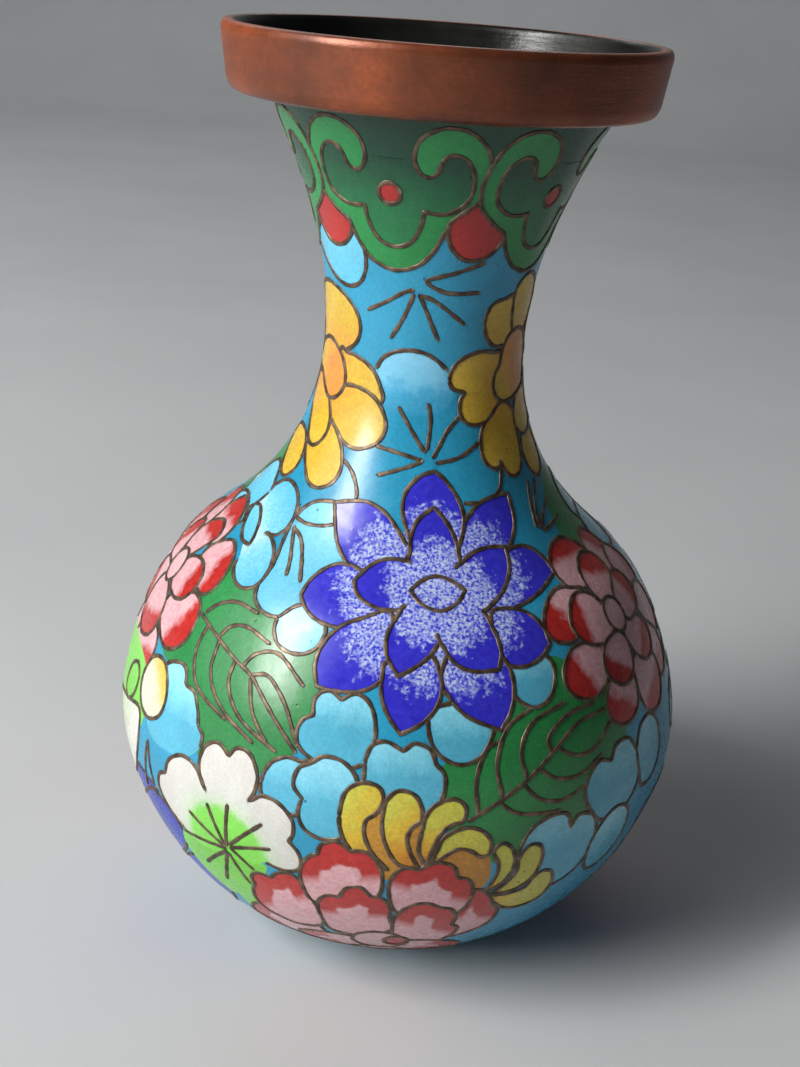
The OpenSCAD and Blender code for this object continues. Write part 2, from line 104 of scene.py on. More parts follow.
# ------------------------------------------------------- drawing on the skin
# Outlines are lists of (azimuth, s); a third value of 1 marks a sharp corner.
def smooth(points, closed=True, step=7):
    pts = [tuple(p) + (0,) * (3 - len(p)) for p in points]
    n = len(pts)
    p = np.array([q[:2] for q in pts], float)
    sharp = [bool(q[2]) for q in pts]
    out = []
    for i in range(n if closed else n - 1):
        j = (i + 1) % n
        a, b = p[i], p[j]
        before = p[(i - 1) % n] if (closed or i > 0) and not sharp[i] else a - (b - a)
        after = p[(j + 1) % n] if (closed or j < n - 1) and not sharp[j] else b + (b - a)
        t = np.linspace(0, 1, step, endpoint=False)[:, None]
        m0, m1 = (b - before) / 2, (after - a) / 2
        out.append((2 * t ** 3 - 3 * t ** 2 + 1) * a + (t ** 3 - 2 * t ** 2 + t) * m0
                   + (-2 * t ** 3 + 3 * t ** 2) * b + (t ** 3 - t ** 2) * m1)
    if not closed:
        out.append(p[-1:])
    return np.vstack(out)


def place(at, xy):
    """Millimetres across and up from an anchor (azimuth, s) to (azimuth, s)."""
    xy = np.asarray(xy, float)
    s = np.clip(at[1] + xy[:, 1], 0, S_TOP)
    return np.stack([at[0] + xy[:, 0] / np.maximum(6, radius(s)) * DEG, s], 1)


def to_mm(at, p):
    return np.stack([(p[:, 0] - at[0]) / DEG * np.maximum(6, radius(p[:, 1])), p[:, 1] - at[1]], 1)


def turned(xy, deg):
    c, s = math.cos(math.radians(deg)), math.sin(math.radians(deg))
    xy = np.asarray(xy, float)
    return np.stack([xy[:, 0] * c - xy[:, 1] * s, xy[:, 0] * s + xy[:, 1] * c], 1)


def petal(at, way, r0, r1, w):
    """A round-tipped petal from r0 to r1 mm along way, w wide and half as wide at its root."""
    n, wide, root = 13, 0.6, 0.5
    swell = np.linspace(1, 0, n, endpoint=False)
    fade = np.sin(np.linspace(0, math.pi / 2, n))
    xm = r0 + wide * (r1 - r0)
    x = np.concatenate([xm - (xm - r0) * swell, xm + (r1 - xm) * fade])
    tip = (1 - fade ** 2.3) ** 0.5
    half = w / 2 * np.concatenate([root + (1 - root) * (1 - swell ** 2), tip])
    xy = np.vstack([np.stack([x, half], 1), np.stack([x, -half], 1)[-2::-1]])
    return place(at, turned(xy, way))


def disc(at, rx, ry=None, n=36):
    t = 2 * math.pi * np.arange(n) / n
    return place(at, np.stack([rx * np.cos(t), (ry or rx) * np.sin(t)], 1))


def moved(points, d_az, d_s=0):
    """The same points further round the axis and further up, corner marks kept."""
    return [(p[0] + d_az, p[1] + d_s) + tuple(p[2:]) for p in points]


def mirrored(points, az):
    """Points given from 0 degrees, laid out to the other side of az."""
    return [(az - p[0],) + tuple(p[1:]) for p in points]


CELLS, LINES = [], []


def cell(node, paint, outline, wire=None, root=None, crown=None, radial=False):
    """One enamel cell. root and crown (azimuth, s) are where its colour runs from and to."""
    outline = np.asarray(outline, float)
    x, y = outline.T
    if np.sum(x * np.roll(y, -1) - np.roll(x, -1) * y) < 0:
        outline = outline[::-1]
    mid = outline.mean(0)
    root = root or (mid[0], outline[:, 1].min())
    crown = crown or (mid[0], outline[:, 1].max())
    CELLS.append(dict(node=node, paint=paint, line=outline, root=root[:2], crown=crown[:2], radial=radial))
    if wire:
        LINES.append((wire, np.vstack([outline, outline[:1]]), len(CELLS) - 1))


def from_within(heart, outline):
    """Where a petal's own root and tip lie, seen from the heart of its flower."""
    mm = to_mm(heart, outline)
    along = mm @ (mm.mean(0) / np.linalg.norm(mm.mean(0)))
    return tuple(outline[np.argmin(along)]), tuple(outline[np.argmax(along)])


def line(wire, points, smoothed=True):
    p = smooth(points, closed=False) if smoothed else np.asarray(points, float)
    LINES.append((wire, p, len(CELLS) - 1))


# ---- ground coats
BODY, NECK, COLLAR = "body_ground_enamel", "neck_ground_enamel", "collar_ground_enamel"


def band(s0, s1):
    """A coat all the way round, with a point at each degree so that its edges follow the skin."""
    round_it = np.arange(-200, 201)
    low, high = (np.stack([round_it, np.full(401, s)], 1) for s in (s0, s1))
    return np.vstack([low, high[::-1]])


cell(BODY, "turquoise", band(0.0, 57.5))
cell(NECK, "turquoise", band(57.5, 98.2))
# The collar's ground is painted dark green with painted shade from the rim, darker towards the rim.
cell(COLLAR, "collar_green", band(98.2, S_TOP))
leaf_grounds = [
    [(-58, 56.8), (-40, 56), (-27, 55.5), (-16, 52), (-15, 47), (-18, 42), (-22, 39), (-38, 37.5),
     (-41, 41), (-47, 44), (-60, 46)],
    [(22, 51), (34, 51.8), (40, 50), (50, 46), (52, 42), (48, 38.6), (41, 34.6), (35, 31), (24, 30),
     (15, 33), (9, 37), (8, 41), (12, 43), (18, 44), (21, 47)]]
for turn in (0, 180):
    for pts in leaf_grounds:
        cell(BODY, "leaf_green", smooth(moved(pts, turn)))
cell(NECK, "leaf_green", smooth([(-100, 70), (-84, 70), (-74, 68.5), (-70, 66.5), (-80, 63), (-100, 62)]))
cell(NECK, "leaf_green", smooth([(66, 60), (62, 64.5), (70, 69), (84, 70), (100, 66), (92, 60)]))

# ---- collar: five cloud heads, a red tongue between each two
CW = "collar_cloud_wires"
head_outer = [(18.3, 104.9, 1), (17.4, 103.8), (14.4, 103.2), (11, 103.6), (9, 104.9), (10, 106.6),
              (13.5, 107.8), (19, 108.5), (26, 108.3), (32.5, 106.8), (36.5, 104.3), (37.7, 102),
              (36, 100.2), (31, 98.8), (26.5, 98), (22.3, 97.4, 1), (20.5, 96.3), (18, 95.2), (13, 93.9),
              (7, 93.2), (0, 92.9)]
head_inner = [(18.3, 104.9, 1), (21, 105.6), (25, 105.6), (29, 104.6), (31, 102.9), (30.5, 101.2),
              (27.5, 100.1), (22.5, 99.4), (17, 99.3), (12.9, 99.5, 1), (12.2, 98.2), (10.3, 96.9),
              (6.3, 95.8), (0, 95.4)]


def about(half, az):
    """A half outline and its mirror image, as one open line from tip to tip."""
    return smooth(mirrored(half, az) + moved(half[-2::-1], az), closed=False)


red_tongue = [(0, 101, 1), (-7, 99.6), (-12, 98.4), (-12.8, 97.3, 1), (-10.5, 95.9), (-6, 94.8), (0, 94.4),
              (7, 94.7), (12.5, 95.8), (15, 97.2, 1), (14.3, 98.2), (8, 99.5)]
under_tongue = [(-36, 98, 1), (-34.6, 96), (-33, 94.4), (-33.2, 92.6), (-37, 91), (-44, 90.3), (-52, 90.4),
                (-61, 91.2), (-69, 92.4), (-76, 94.2, 1), (-60, 97)]
for k in range(5):
    az = -17 + 72 * k
    c = az - 36
    tongue = smooth(moved(red_tongue, c))
    if k == 0:
        cell(NECK, "pale_blue", smooth(under_tongue), "collar_pendant_wires")
    cell("collar_red_pendants", "red", tongue, "collar_pendant_wires", (c, 101), (c, 94.3))
    outer, inner = about(head_outer, az), about(head_inner, az)
    cell("collar_cloud_bands", "band_green", np.vstack([outer, inner[::-1][1:-1]]), None)
    hook = head_outer[:5]
    right_lid = smooth(moved(hook, az), False)
    left_lid = smooth(mirrored(hook[::-1], az), False)
    field = np.vstack([inner, right_lid[1:], left_lid[:-1]])
    # The field is painted darker towards its top, as painted shade under the rim.
    cell("collar_cloud_fields", "field_green", field, None, (az, 95.4), (az, 104.9))
    cell("collar_red_dots", "red", disc((az - 1, 101.1), 1.15), CW)
    line(CW, outer, False)
    line(CW, inner, False)

# ---- neck: cut wires, half discs, yellow flowers
NC = "neck_cut_wires"
YW, YP = "neck_flower_wires", "neck_flower_petals"
for turn in (0, 120, 238):
    half = smooth([(-26, 82.3, 1), (-22, 83.6), (-15, 84.4), (-7, 84.7), (1, 84.5), (8, 83.8),
                   (13, 82.9, 1), (18, 80.5), (12, 78.6), (-4, 78), (-17, 78.6), (-27, 80.4)])
    half[:, 0] += turn
    cell("neck_half_discs", "half_disc", half, None, (-6 + turn, 77.8), (-6 + turn, 84.7))
    for pts in ([(-26, 82.3), (-22, 83.6), (-15, 84.4), (-7, 84.7), (1, 84.5), (8, 83.8), (13, 82.9)],
                [(27, 94.2), (13, 93.1), (2, 92.4), (-1, 92), (4, 91.3), (12, 90.9), (27, 91)],
                [(-33, 88.2), (-22, 89.4), (-12, 90.7), (-7, 91)], [(-18.5, 85.7), (-12, 88), (-7, 90.6)],
                [(7.2, 85.9), (2, 88), (-4.3, 90.6)], [(21, 87.6), (10, 89.2), (2, 90.2), (-5, 90.5)],
                [(-11, 78.8), (-4, 76.8), (3.5, 74.6), (4.8, 74.7)],
                [(4.5, 79.4), (6.2, 77.6), (5.2, 74.6)],
                [(22, 78.2), (15, 76.6), (10.5, 74.8), (8, 73.8)], [(32, 75.3), (21, 73.9), (9.5, 73.3)],
                [(-20, 74.5), (-8, 74.1), (3.5, 73.5)], [(-16.5, 71.5), (-6, 72.5), (3.2, 73.4)]):
        line(NC, moved(pts, turn))
left_flower = [
    [(-88, 88), (-80, 89.3), (-68, 89.9), (-56, 89.6), (-46, 88.7), (-39.5, 87.4), (-37.6, 86),
     (-39.5, 84.7), (-45, 83.7), (-52, 83.2), (-64, 83), (-80, 83.5)],
    [(-110, 84), (-104, 87.5), (-96, 88.8), (-88, 87.5), (-82, 84), (-90, 82)],
    [(-53, 83.3), (-47, 83.2), (-40, 83.1), (-33, 82.7), (-27, 81.9), (-22.5, 80.6), (-20.3, 79),
     (-30, 77.5), (-47, 77.5), (-52, 80)],
    [(-84, 73), (-76, 73.4), (-68, 73.1), (-63, 72.1), (-60.2, 70.6), (-60.8, 69), (-65, 67.9), (-71, 68.2),
     (-79, 69.8), (-86, 71.5)],
    [(-50, 76), (-44.5, 75), (-39, 73.9), (-35.2, 72.4), (-34, 70.8), (-36.5, 69.4), (-42, 68.6),
     (-48, 68.8), (-54, 70), (-59, 71.2), (-62.5, 72.6), (-57, 75)],
    [(-57, 78.5), (-50, 79.3), (-43, 79.9), (-34, 79.9), (-25, 79.3), (-18.6, 77.9), (-16.3, 76.4),
     (-18.5, 75), (-24, 74.1), (-31, 73.7), (-38, 74.1), (-44, 75), (-50, 75.8), (-56, 76.6)],
    [(-112, 79.5), (-108, 76), (-98, 75), (-88, 77), (-84, 80), (-92, 82), (-104, 81.5)],
    [(-82, 79.5), (-72, 79.7), (-64, 79), (-57, 77.7), (-51.7, 76.1), (-50.2, 74.5), (-53, 73), (-58, 72.4),
     (-64, 73), (-71, 74.8), (-79, 77)],
    [(-86, 82), (-78, 83.2), (-68, 83.9), (-60, 83.7), (-52, 82.7), (-47.5, 81.3), (-46.2, 80),
     (-48.3, 78.8), (-53, 78), (-59, 77.9), (-66, 78.8), (-74, 79.9), (-84, 80.3)]]
right_flower = [
    [(33, 87.8), (34.2, 89), (38, 89.8), (45, 90.1), (52, 90.3), (62, 88), (56, 85.5), (46, 85), (40, 85.3),
     (35, 86.3)],
    [(51.5, 90.2, 1), (53, 91.3), (57, 92.2), (63, 92.5), (70, 92), (76, 90.8), (80, 88.5), (70, 86),
     (56, 86.5)],
    [(80, 88.5), (88, 89.4), (97, 88), (102, 85), (96, 82.5), (84, 83.5), (76, 85.5)],
    [(62, 72.5), (63, 74.3), (69, 75.6), (78, 75.6), (83, 73.2), (79, 71), (70, 70), (64, 70.8)],
    [(15.2, 81.9), (16.4, 82.9), (20, 83.8), (26, 84.4), (33, 84.7), (41, 84.5), (49, 84.2), (53, 81.5),
     (50, 78.5), (42, 77.7), (36, 77.2), (29, 77.1), (24, 77.6), (21.6, 78.6), (22.2, 79.8),
     (24.6, 80.5, 1), (21, 80.7), (17, 81)],
    [(33, 74.3), (33.4, 75.8), (36, 77), (42, 78), (49, 79), (58, 78.3), (60.6, 75.8), (59.7, 73.3),
     (57, 71.9), (52, 71.1), (47.5, 71.3), (44.6, 72.1), (43.4, 73, 1), (40.5, 72.3), (36.5, 72.6),
     (34, 73.3)],
    [(60, 76.4), (62, 78.3), (68, 80), (78, 80), (86, 78.2), (84, 76), (74, 74.9), (65, 75)],
    [(100, 80), (104, 78), (100, 75.5), (90, 75.5), (84, 78), (88, 81)],
    [(43.3, 80.7), (44.2, 82), (47.6, 83), (49, 84.6), (53.5, 86), (60, 86.5), (68, 86.3), (76, 85),
     (80, 82.5), (77, 80.3), (69, 79.6), (60, 79.1), (52, 79), (46.3, 79.5)]]
back_flower = [moved(pts, 244) for pts in left_flower]
for flower, mid in ((left_flower, (-64, 80.8)), (right_flower, (60, 82.3)), (back_flower, (180, 80.8))):
    for i, pts in enumerate(flower):
        out = smooth(pts)
        far = out[np.argmax(np.abs(to_mm(mid, out)).max(1))]
        if i == len(flower) - 1:
            cell("neck_flower_centres", "yellow", out, YW, mid, tuple(out[0]))
        else:
            cell(YP, "yellow", out, YW, mid, tuple(far))
line(YW, [(-34, 72.3), (-29, 71.5), (-25.5, 70.5), (-23.4, 69.5), (-22.3, 68.4)])
line(YW, [(43.4, 73), (42, 71.6), (39.5, 70.3), (35.5, 69.5), (30, 69.1), (21, 69.1)])
for pts in ([(51, 65.2), (54, 68), (58, 70.2)], [(52.4, 65.1), (57, 67.8), (64, 70)],
            [(53, 64.9), (59, 66.4), (66.5, 67.6)], [(53.4, 64.6), (60, 64.9), (67.5, 65.3)]):
    for turn in (0, 180):
        line(NC, moved(pts, turn))

# ---- shoulder: pale-blue flowers
PW, PP = "pale_flower_wires", "pale_flower_petals"
for turn in (0, 172):
    def at(*pts):
        return smooth(moved(pts, turn))
    cell(PP, "pale_blue", at((-46, 66.2), (-44.2, 65, 1), (-42.3, 66.4), (-38, 67.4), (-30.3, 67.9, 1),
         (-24, 66), (-19, 62), (-21, 58), (-26.5, 55.6), (-30, 54.2), (-34, 54.1), (-38, 55), (-39.9, 56.6),
         (-40, 59), (-43, 62.5)), PW)
    line(PW, moved(((-44, 64.9), (-38, 64.7), (-32, 65), (-27, 65.6)), turn))
    line(PW, moved(((-34, 58.6), (-36, 60.4), (-39, 62.2), (-42.3, 64)), turn))
    line(PW, moved(((-42, 63.8), (-37, 63), (-33, 61.2), (-29, 58.4)), turn))
    cell(PP, "pale_blue", at((-66, 65.6), (-69, 67), (-75, 68.4), (-82, 68.3), (-89, 66.5), (-90, 64),
                             (-84, 62), (-72, 62)), PW)
    cell(PP, "pale_blue", at((-90, 60.5), (-86, 58), (-78, 57.5), (-70, 59), (-66, 61.5), (-76, 63.2),
                             (-86, 62.8)), PW)
    core = [(-50.5, 61.8, 1), (-46.4, 62.3), (-44.5, 63.6), (-45, 65.2), (-48.5, 66.9), (-54, 67.8),
            (-60, 67.9), (-64.3, 67.1), (-66, 65.6)]
    side = [(-51.5, 61.8), (-45.4, 61.3), (-41.2, 59.6), (-39.7, 57.5), (-41, 56), (-45, 55.5),
            (-49.6, 56.4), (-52.6, 58.2)]
    cell(PP, "pale_core", at(*core, (-66, 63), (-58, 60.5)), None, (-62 + turn, 61.6), (-48 + turn, 66.8))
    cell(PP, "pale_core", at(*side, (-56, 60)), None, (-58 + turn, 61), (-40 + turn, 57))
    line(PW, at(*core)[:-7], False)
    line(PW, at(*side)[:-7], False)
    cell("pale_flower_eyes", "pale_blue", at((-68.5, 63.6, 1), (-64, 63.8), (-58.4, 62.7), (-54.6, 61),
         (-53.2, 59.8, 1), (-58, 59.9), (-63, 61), (-67, 62.5)), PW)

# ---- leaves: veins only
LV = "leaf_vein_wires"
left_leaf = [[(-51, 51.1), (-43, 49.9), (-36, 48.6), (-31, 47.7), (-27, 46), (-22, 43.6), (-18, 41.6)],
             [(-49.8, 51.4), (-47, 53), (-42, 54), (-35, 53.8)],
             [(-42.5, 50), (-40.5, 51.5), (-36, 52.1), (-29, 51.3)],
             [(-33.6, 48.4), (-31.3, 50), (-26, 50.6), (-19, 48.2)],
             [(-31, 47.8), (-27, 48.2), (-22, 46), (-18, 42.3)],
             [(-47, 50.7), (-47.2, 47.5), (-43.5, 44.4), (-34, 42.5)],
             [(-42, 49.7), (-41, 46.3), (-36, 43.6), (-27, 41.3)],
             [(-36, 48.5), (-35.6, 46), (-31, 43.3), (-22, 41.2)],
             [(-31, 47.5), (-28.5, 44.3), (-24, 41.6)]]
right_leaf = [[(14.3, 36.2), (20, 38), (26, 40), (32, 42.4), (38, 44.4), (46, 44.9)],
              [(16, 37), (15.6, 40.5), (17.3, 43.2), (20, 44.2)],
              [(20.6, 38.4), (19.6, 42), (22, 45.4), (27.5, 47)],
              [(25.5, 40), (24.6, 43), (27.6, 45.6), (35.5, 46.9)],
              [(31, 42.1), (30.9, 43.9), (36, 45.6), (43, 45.9)],
              [(32.5, 42.5), (37, 41.2), (42, 41.4), (47, 43.4)],
              [(28, 40.9), (32, 39.4), (37.5, 39.1), (43.5, 40.4)],
              [(25, 39.4), (28, 37.7), (33, 36.9), (38.5, 37.7)],
              [(20, 38), (23, 36.7), (27, 36.1), (33, 35.8)]]
for turn in (0, 180):
    for pts in left_leaf + right_leaf:
        line(LV, moved(pts, turn))

# ---- clouds and round lobes
KW, KC = "cloud_wires", "cloud_cells"
clouds = [
    [(-30, 54.1, 1), (-29.6, 52.9), (-27.5, 51.6), (-24, 51.1), (-20.5, 51.4), (-18, 52.5), (-17.3, 54, 1),
     (-20, 56), (-26, 56)],
    [(23.4, 51.5), (23.5, 49.4), (25, 47.9), (28.5, 47), (32, 47.6), (34.1, 49.3), (34.2, 51.3), (30, 53),
     (25, 53)],
    [(6.3, 46.8), (6.9, 44.4), (9, 42.9), (12.5, 42.1), (16, 42.6), (18.1, 44), (18.9, 45.9), (15, 48),
     (9, 48)],
    [(-6, 41.5), (-12, 41), (-17, 42), (-18.6, 43.5), (-17.9, 45), (-16, 45.7, 1), (-16.2, 47.4),
     (-13.8, 48.4), (-10.8, 47.7, 1), (-8.3, 48.5), (-5.4, 47.8), (-3.8, 45.9), (-3.8, 43.4)],
    [(-24, 38), (-22.6, 40), (-19.6, 41), (-16.8, 40.9), (-14.8, 41), (-14, 38), (-16, 35.4), (-20, 35.4),
     (-23.4, 36.2)],
    [(-15.8, 37.2, 1), (-17.7, 38.4), (-17.1, 40.2), (-14.8, 41, 1), (-12.6, 41.9), (-9, 41.7),
     (-6.3, 40.3), (-5, 37.6), (-6.5, 35), (-8.4, 33.6), (-12, 33.2), (-15, 34), (-16.3, 35.6)],
    [(-5, 42.3, 1), (-4, 43.7), (-1.4, 44.2), (1.8, 43.4, 1), (4, 44.2), (6.9, 43.6), (8, 42.2, 1),
     (9.6, 41.2), (9.8, 39.7), (8.6, 38), (5, 36), (-1, 36), (-4.6, 39)],
    [(39, 36), (39.6, 38.2), (42.6, 39.7), (46, 39.2, 1), (48, 40.6), (52, 40.6), (54.5, 38.8, 1),
     (55.5, 36), (53, 33.5), (48, 32.4), (43, 33)],
    [(54.5, 38.8, 1), (57, 41), (61.5, 41.4), (65, 39.6), (65.5, 36.5), (62, 34), (57, 34), (55.5, 36)],
    [(25, 32), (26.8, 34.3), (30.5, 35.4), (34.4, 35.2), (35.8, 33.4, 1), (37.6, 34.6), (41.4, 33.8),
     (43, 31), (41.5, 27), (36, 25), (30, 27), (26, 29.5)],
    [(42.5, 30), (45, 32.6), (49, 33.4), (53, 32), (54, 28.5), (51, 25.4), (46, 25), (43, 27)]]
for turn in (0, 100, 200):
    for i, pts in enumerate(clouds):
        if turn and i < 3:
            continue
        out = smooth(moved(pts, turn))
        mid = out.mean(0)
        # The front cloud's disc is painted paler than the other clouds: pale enamel with a painted
        # highlight on it.
        paint = "white_disc" if i == 0 and turn == 0 else "cloud"
        cell(KC, paint, out, KW, (mid[0], mid[1] - 0.5), (mid[0], mid[1] + 3.5))
cell(KC, "cloud", smooth([(-58, 38, 1), (-58, 43), (-53, 45), (-49.5, 45.5), (-46.6, 43.8, 1),
     (-43.5, 43.6), (-41.2, 42), (-40.2, 40.6, 1), (-38.6, 39.9), (-39, 38.3), (-42, 36.8), (-47, 36),
     (-54, 36)]), None, (-49, 40), (-49, 44))
line(KW, [(-56, 43.8), (-53, 45), (-49.5, 45.5), (-47.6, 45), (-46.6, 43.8)])
line(KW, [(-46.6, 43.8), (-43.5, 43.6), (-41.2, 42), (-40.2, 40.6)])
line(KW, [(-40.2, 40.6), (-38.6, 39.9), (-38.7, 38.6)])

# ---- blue lotus
# Each petal runs from one cleft, round its tip (the corner), to the next cleft.
LO, LI, LW = "lotus_outer_petals", "lotus_inner_petals", "lotus_wires"
lotus_outer = [
    [(14, 63), (17, 65.4), (21, 67.4), (27, 68.9), (34, 69.5), (43, 69.6, 1), (42, 67), (38, 64.9),
     (33, 63.6), (24, 62)],
    [(0.5, 64), (-1.5, 64.9), (-5, 66.4), (-10, 67.8), (-17, 68.6), (-24, 68.4), (-31, 67.8, 1), (-28, 66),
     (-24, 63.8), (-19, 62), (-14, 61), (-6, 60)],
    [(3, 64), (-1.4, 66.4), (-3.6, 68.3), (-3, 70.2), (1, 71.6), (5, 72.2), (9.2, 72.5, 1), (14, 71.5),
     (18.6, 69.7), (20.2, 67.6), (17.5, 65), (12, 63)],
    [(24, 61), (33, 63.5), (39, 63.9), (44, 63.3), (47, 61.8), (47.6, 60.2, 1), (44, 59.5), (38, 58.4),
     (32, 57.6), (27, 57.2), (20, 57)],
    [(-5, 57), (-10, 55.4), (-15, 54.7), (-20, 54.9), (-24, 55.8), (-27, 57.1, 1), (-26.6, 59), (-24, 60.7),
     (-20, 61.6), (-15, 61.5), (-8, 60)],
    [(-2.5, 51.5), (-4.5, 49.6), (-8, 48.7), (-12.5, 48.4), (-16.4, 48.5, 1), (-17.8, 50.6), (-17.2, 52.8),
     (-14.4, 54.8), (-10, 56), (-3, 57)],
    [(22, 53), (24, 51.5), (28, 51.2), (32, 51.8), (35.2, 52.9, 1), (34.8, 54.8), (32.4, 56.4), (28, 57.3),
     (22, 57)],
    [(8.6, 50.6), (10.4, 48.7), (14, 46.8), (20.7, 45.2, 1), (23, 47), (24.2, 49.2), (23.7, 51.4), (21, 53),
     (12, 54)],
    [(-2.4, 52.2), (-3.5, 50.4), (-3.1, 48.4), (-1.4, 46.6), (1.1, 45, 1), (4.6, 46), (7.4, 47.4),
     (8.7, 49), (8.6, 50.8), (6, 53)]]
lotus_inner = [
    [(1.6, 62.3), (0.4, 64.2), (0.7, 66), (3, 67.5), (8.6, 68.8, 1), (12.6, 67.5), (15.4, 65.9), (16.4, 64),
     (14.8, 61.9)],
    [(1.6, 62.3), (-2.5, 63), (-7.5, 62.8), (-11.5, 61.8), (-14.6, 60, 1), (-12.4, 58.5), (-8, 57.5),
     (-3.4, 57.3), (1, 58)],
    [(1, 58), (-1.6, 56.6), (-3.3, 54.8), (-3.1, 52.7), (-0.2, 50.6, 1), (4.4, 52), (7.4, 53.5),
     (8.6, 55.5)],
    [(8.6, 55.5), (9.6, 53.5), (12.2, 51.9), (16, 51.2), (21.4, 51.2, 1), (22.5, 53), (21.6, 55.4),
     (18.8, 57.5)],
    [(18.8, 57.5), (24, 58.3), (29, 60), (32.6, 62), (33.8, 64.1, 1), (27, 64.3), (21, 63.8), (17.3, 62.9),
     (14.8, 61.9)]]
lotus_eye = [(1.2, 59.7, 1), (4.5, 58.2), (9, 57.5), (13.4, 58.3), (16.6, 59.8, 1), (13, 60.9), (8.8, 61.4),
             (4.6, 60.9)]
for d_az, d_s in ((0, 0), (177, -2)):
    heart = (9 + d_az, 59.4 + d_s)
    cell(LO, "lotus", disc(heart, 6.4, 7.6), None, heart, (heart[0], heart[1] + 30))
    for node, rows in ((LO, lotus_outer), (LI, lotus_inner)):
        for pts in rows:
            pts = moved(pts, d_az, d_s)
            out = smooth(pts)
            tip = [p[:2] for p in pts if len(p) == 3][0]
            cell(node, "lotus" if node == LO else "lotus_inner", out, LW, heart, tip)
    clefts = np.array([(1.6, 62.3), (1, 58), (8.6, 55.5), (18.8, 57.5), (14.8, 61.9)]) + (d_az, d_s)
    cell(LI, "lotus", smooth(heart + (clefts - heart) * 1.06), None, heart, (heart[0], heart[1] + 30))
    eye = smooth(moved(lotus_eye, d_az, d_s))
    cell("lotus_eyes", "lotus_eye", eye, LW)

# ---- pink chrysanthemums
QW, QO, QI = "pink_flower_wires", "pink_flower_outer_petals", "pink_flower_inner_petals"
left_outer = [
    [(-80, 56), (-84, 60), (-82, 62.3), (-76, 63), (-69, 61.6), (-65.6, 59.2), (-67, 57)],
    [(-94, 58), (-97, 61), (-92, 62.2), (-85, 60.6), (-81, 57)],
    [(-84, 54), (-94, 59), (-100, 57.6), (-99, 54.6), (-92, 52)],
    [(-84, 51), (-97, 53.4), (-101, 50.4), (-97, 47.4), (-88, 47.6)],
    [(-84, 49), (-92, 48), (-96, 44), (-91, 40.4), (-83, 42.4)],
    [(-66.5, 56), (-65.6, 57.6), (-62, 59), (-58, 58.9), (-54, 57.7), (-51.7, 55.7), (-52.2, 53.6),
     (-56, 52.6), (-64, 54)],
    [(-66, 50.4), (-62, 51.2), (-57.4, 52.3), (-53, 51.8), (-51.2, 50), (-51.8, 47.6), (-55, 46),
     (-59, 45.6), (-64, 46.8), (-67, 48.6)],
    [(-79, 47), (-84, 43), (-84.6, 39.4), (-80, 37), (-75.6, 39), (-74, 44)],
    [(-70, 47), (-65.6, 46.6), (-62, 45.4), (-61.6, 43.2), (-64.6, 41), (-70, 40), (-75, 40.9), (-77, 43),
     (-74, 46)]]
left_inner = [
    [(-72, 54), (-68, 57.4), (-70, 59), (-75, 59.6), (-80, 58.4), (-80.6, 56.4), (-78, 54)],
    [(-79, 54), (-83, 57), (-88, 56.6), (-90.4, 54), (-88, 51.8), (-80, 51.4)],
    [(-79, 51.4), (-86, 51), (-89, 48.6), (-86.6, 45.8), (-81, 46), (-76, 50)],
    [(-77.6, 50.4), (-80.4, 47.6), (-79, 44.9), (-74, 43.8), (-68, 44.6), (-65.6, 46.8), (-67.4, 49.4),
     (-72, 50.6)],
    [(-71, 54), (-66.6, 55.2), (-62, 55.1), (-59, 54.1), (-58.4, 52.6), (-60.4, 50.9), (-65, 50.2),
     (-70.6, 51)]]
right_outer = [
    [(68, 58), (70, 61.4), (76, 62.4), (82, 60.8), (83, 58), (76, 56)],
    [(74, 57), (82, 59), (87, 57), (87, 53.8), (80, 53)],
    [(72, 52), (80, 53.6), (86, 51.8), (85, 48.4), (78, 47.4)],
    [(70, 50), (77, 48.6), (80, 45.6), (76, 43.2), (70, 44.6)],
    [(52, 57.2), (48, 58.9), (48, 61), (52, 62.7), (59, 63.3), (65.6, 62.2), (68, 60.4), (63, 58)],
    [(54, 57), (49, 58), (45, 58.4), (40.6, 57.7), (36.8, 56.2), (35.2, 54.6), (36.8, 53.1), (41, 52.5),
     (45, 53), (50, 54)],
    [(52, 51), (46, 52), (41, 51.9), (37.4, 50.4), (36.6, 48.6), (38.8, 47), (43.4, 46.3), (47.6, 47.2),
     (51, 49.4)],
    [(60, 48), (58.6, 45.4), (59.6, 42.8), (63, 41.3), (67.6, 41.2), (71, 42.8), (71.6, 45.2), (68, 48)],
    [(54, 49), (49, 47.2), (46.8, 45.4), (47.2, 43.6), (50, 42.4), (54, 42.2), (57.4, 43.4), (58.4, 45.4),
     (58, 48)]]
right_inner = [
    [(60, 50.6), (61.6, 48.4), (65.6, 46.8), (70.6, 47), (73.2, 49), (71, 50.9), (65, 52.2), (61, 52)],
    [(64, 55), (67.6, 56.4), (73, 56.8), (76.8, 55), (75, 52.5), (69, 51.6), (64, 52)],
    [(56.6, 55.6), (56, 57.8), (59.4, 59.8), (65, 60.6), (70.6, 59.6), (71, 57.5), (65.6, 55.6), (60, 54)],
    [(56, 55.8), (52, 57.1), (47.6, 56.8), (44.2, 55.3), (43.2, 53.7), (45.2, 52.1), (49.4, 51.2),
     (54.6, 51.3), (57, 53)],
    [(56.6, 51.6), (51.4, 51), (48.9, 49.2), (50, 47.3), (54, 46.1), (58, 46.6), (60, 48.4), (59.6, 50.8)]]
for heart, outer_ring, inner_ring, eye in (((-74.5, 52.4), left_outer, left_inner, 1.95),
                                           ((60, 53.2), right_outer, right_inner, 1.85)):
    for node, rows in ((QO, outer_ring), (QI, inner_ring)):
        for pts in rows:
            out = smooth(pts)
            cell(node, "pink", out, QW, *from_within(heart, out))
    cell("pink_flower_centres", "pink_plain", disc(heart, eye, eye * 1.08), QW)

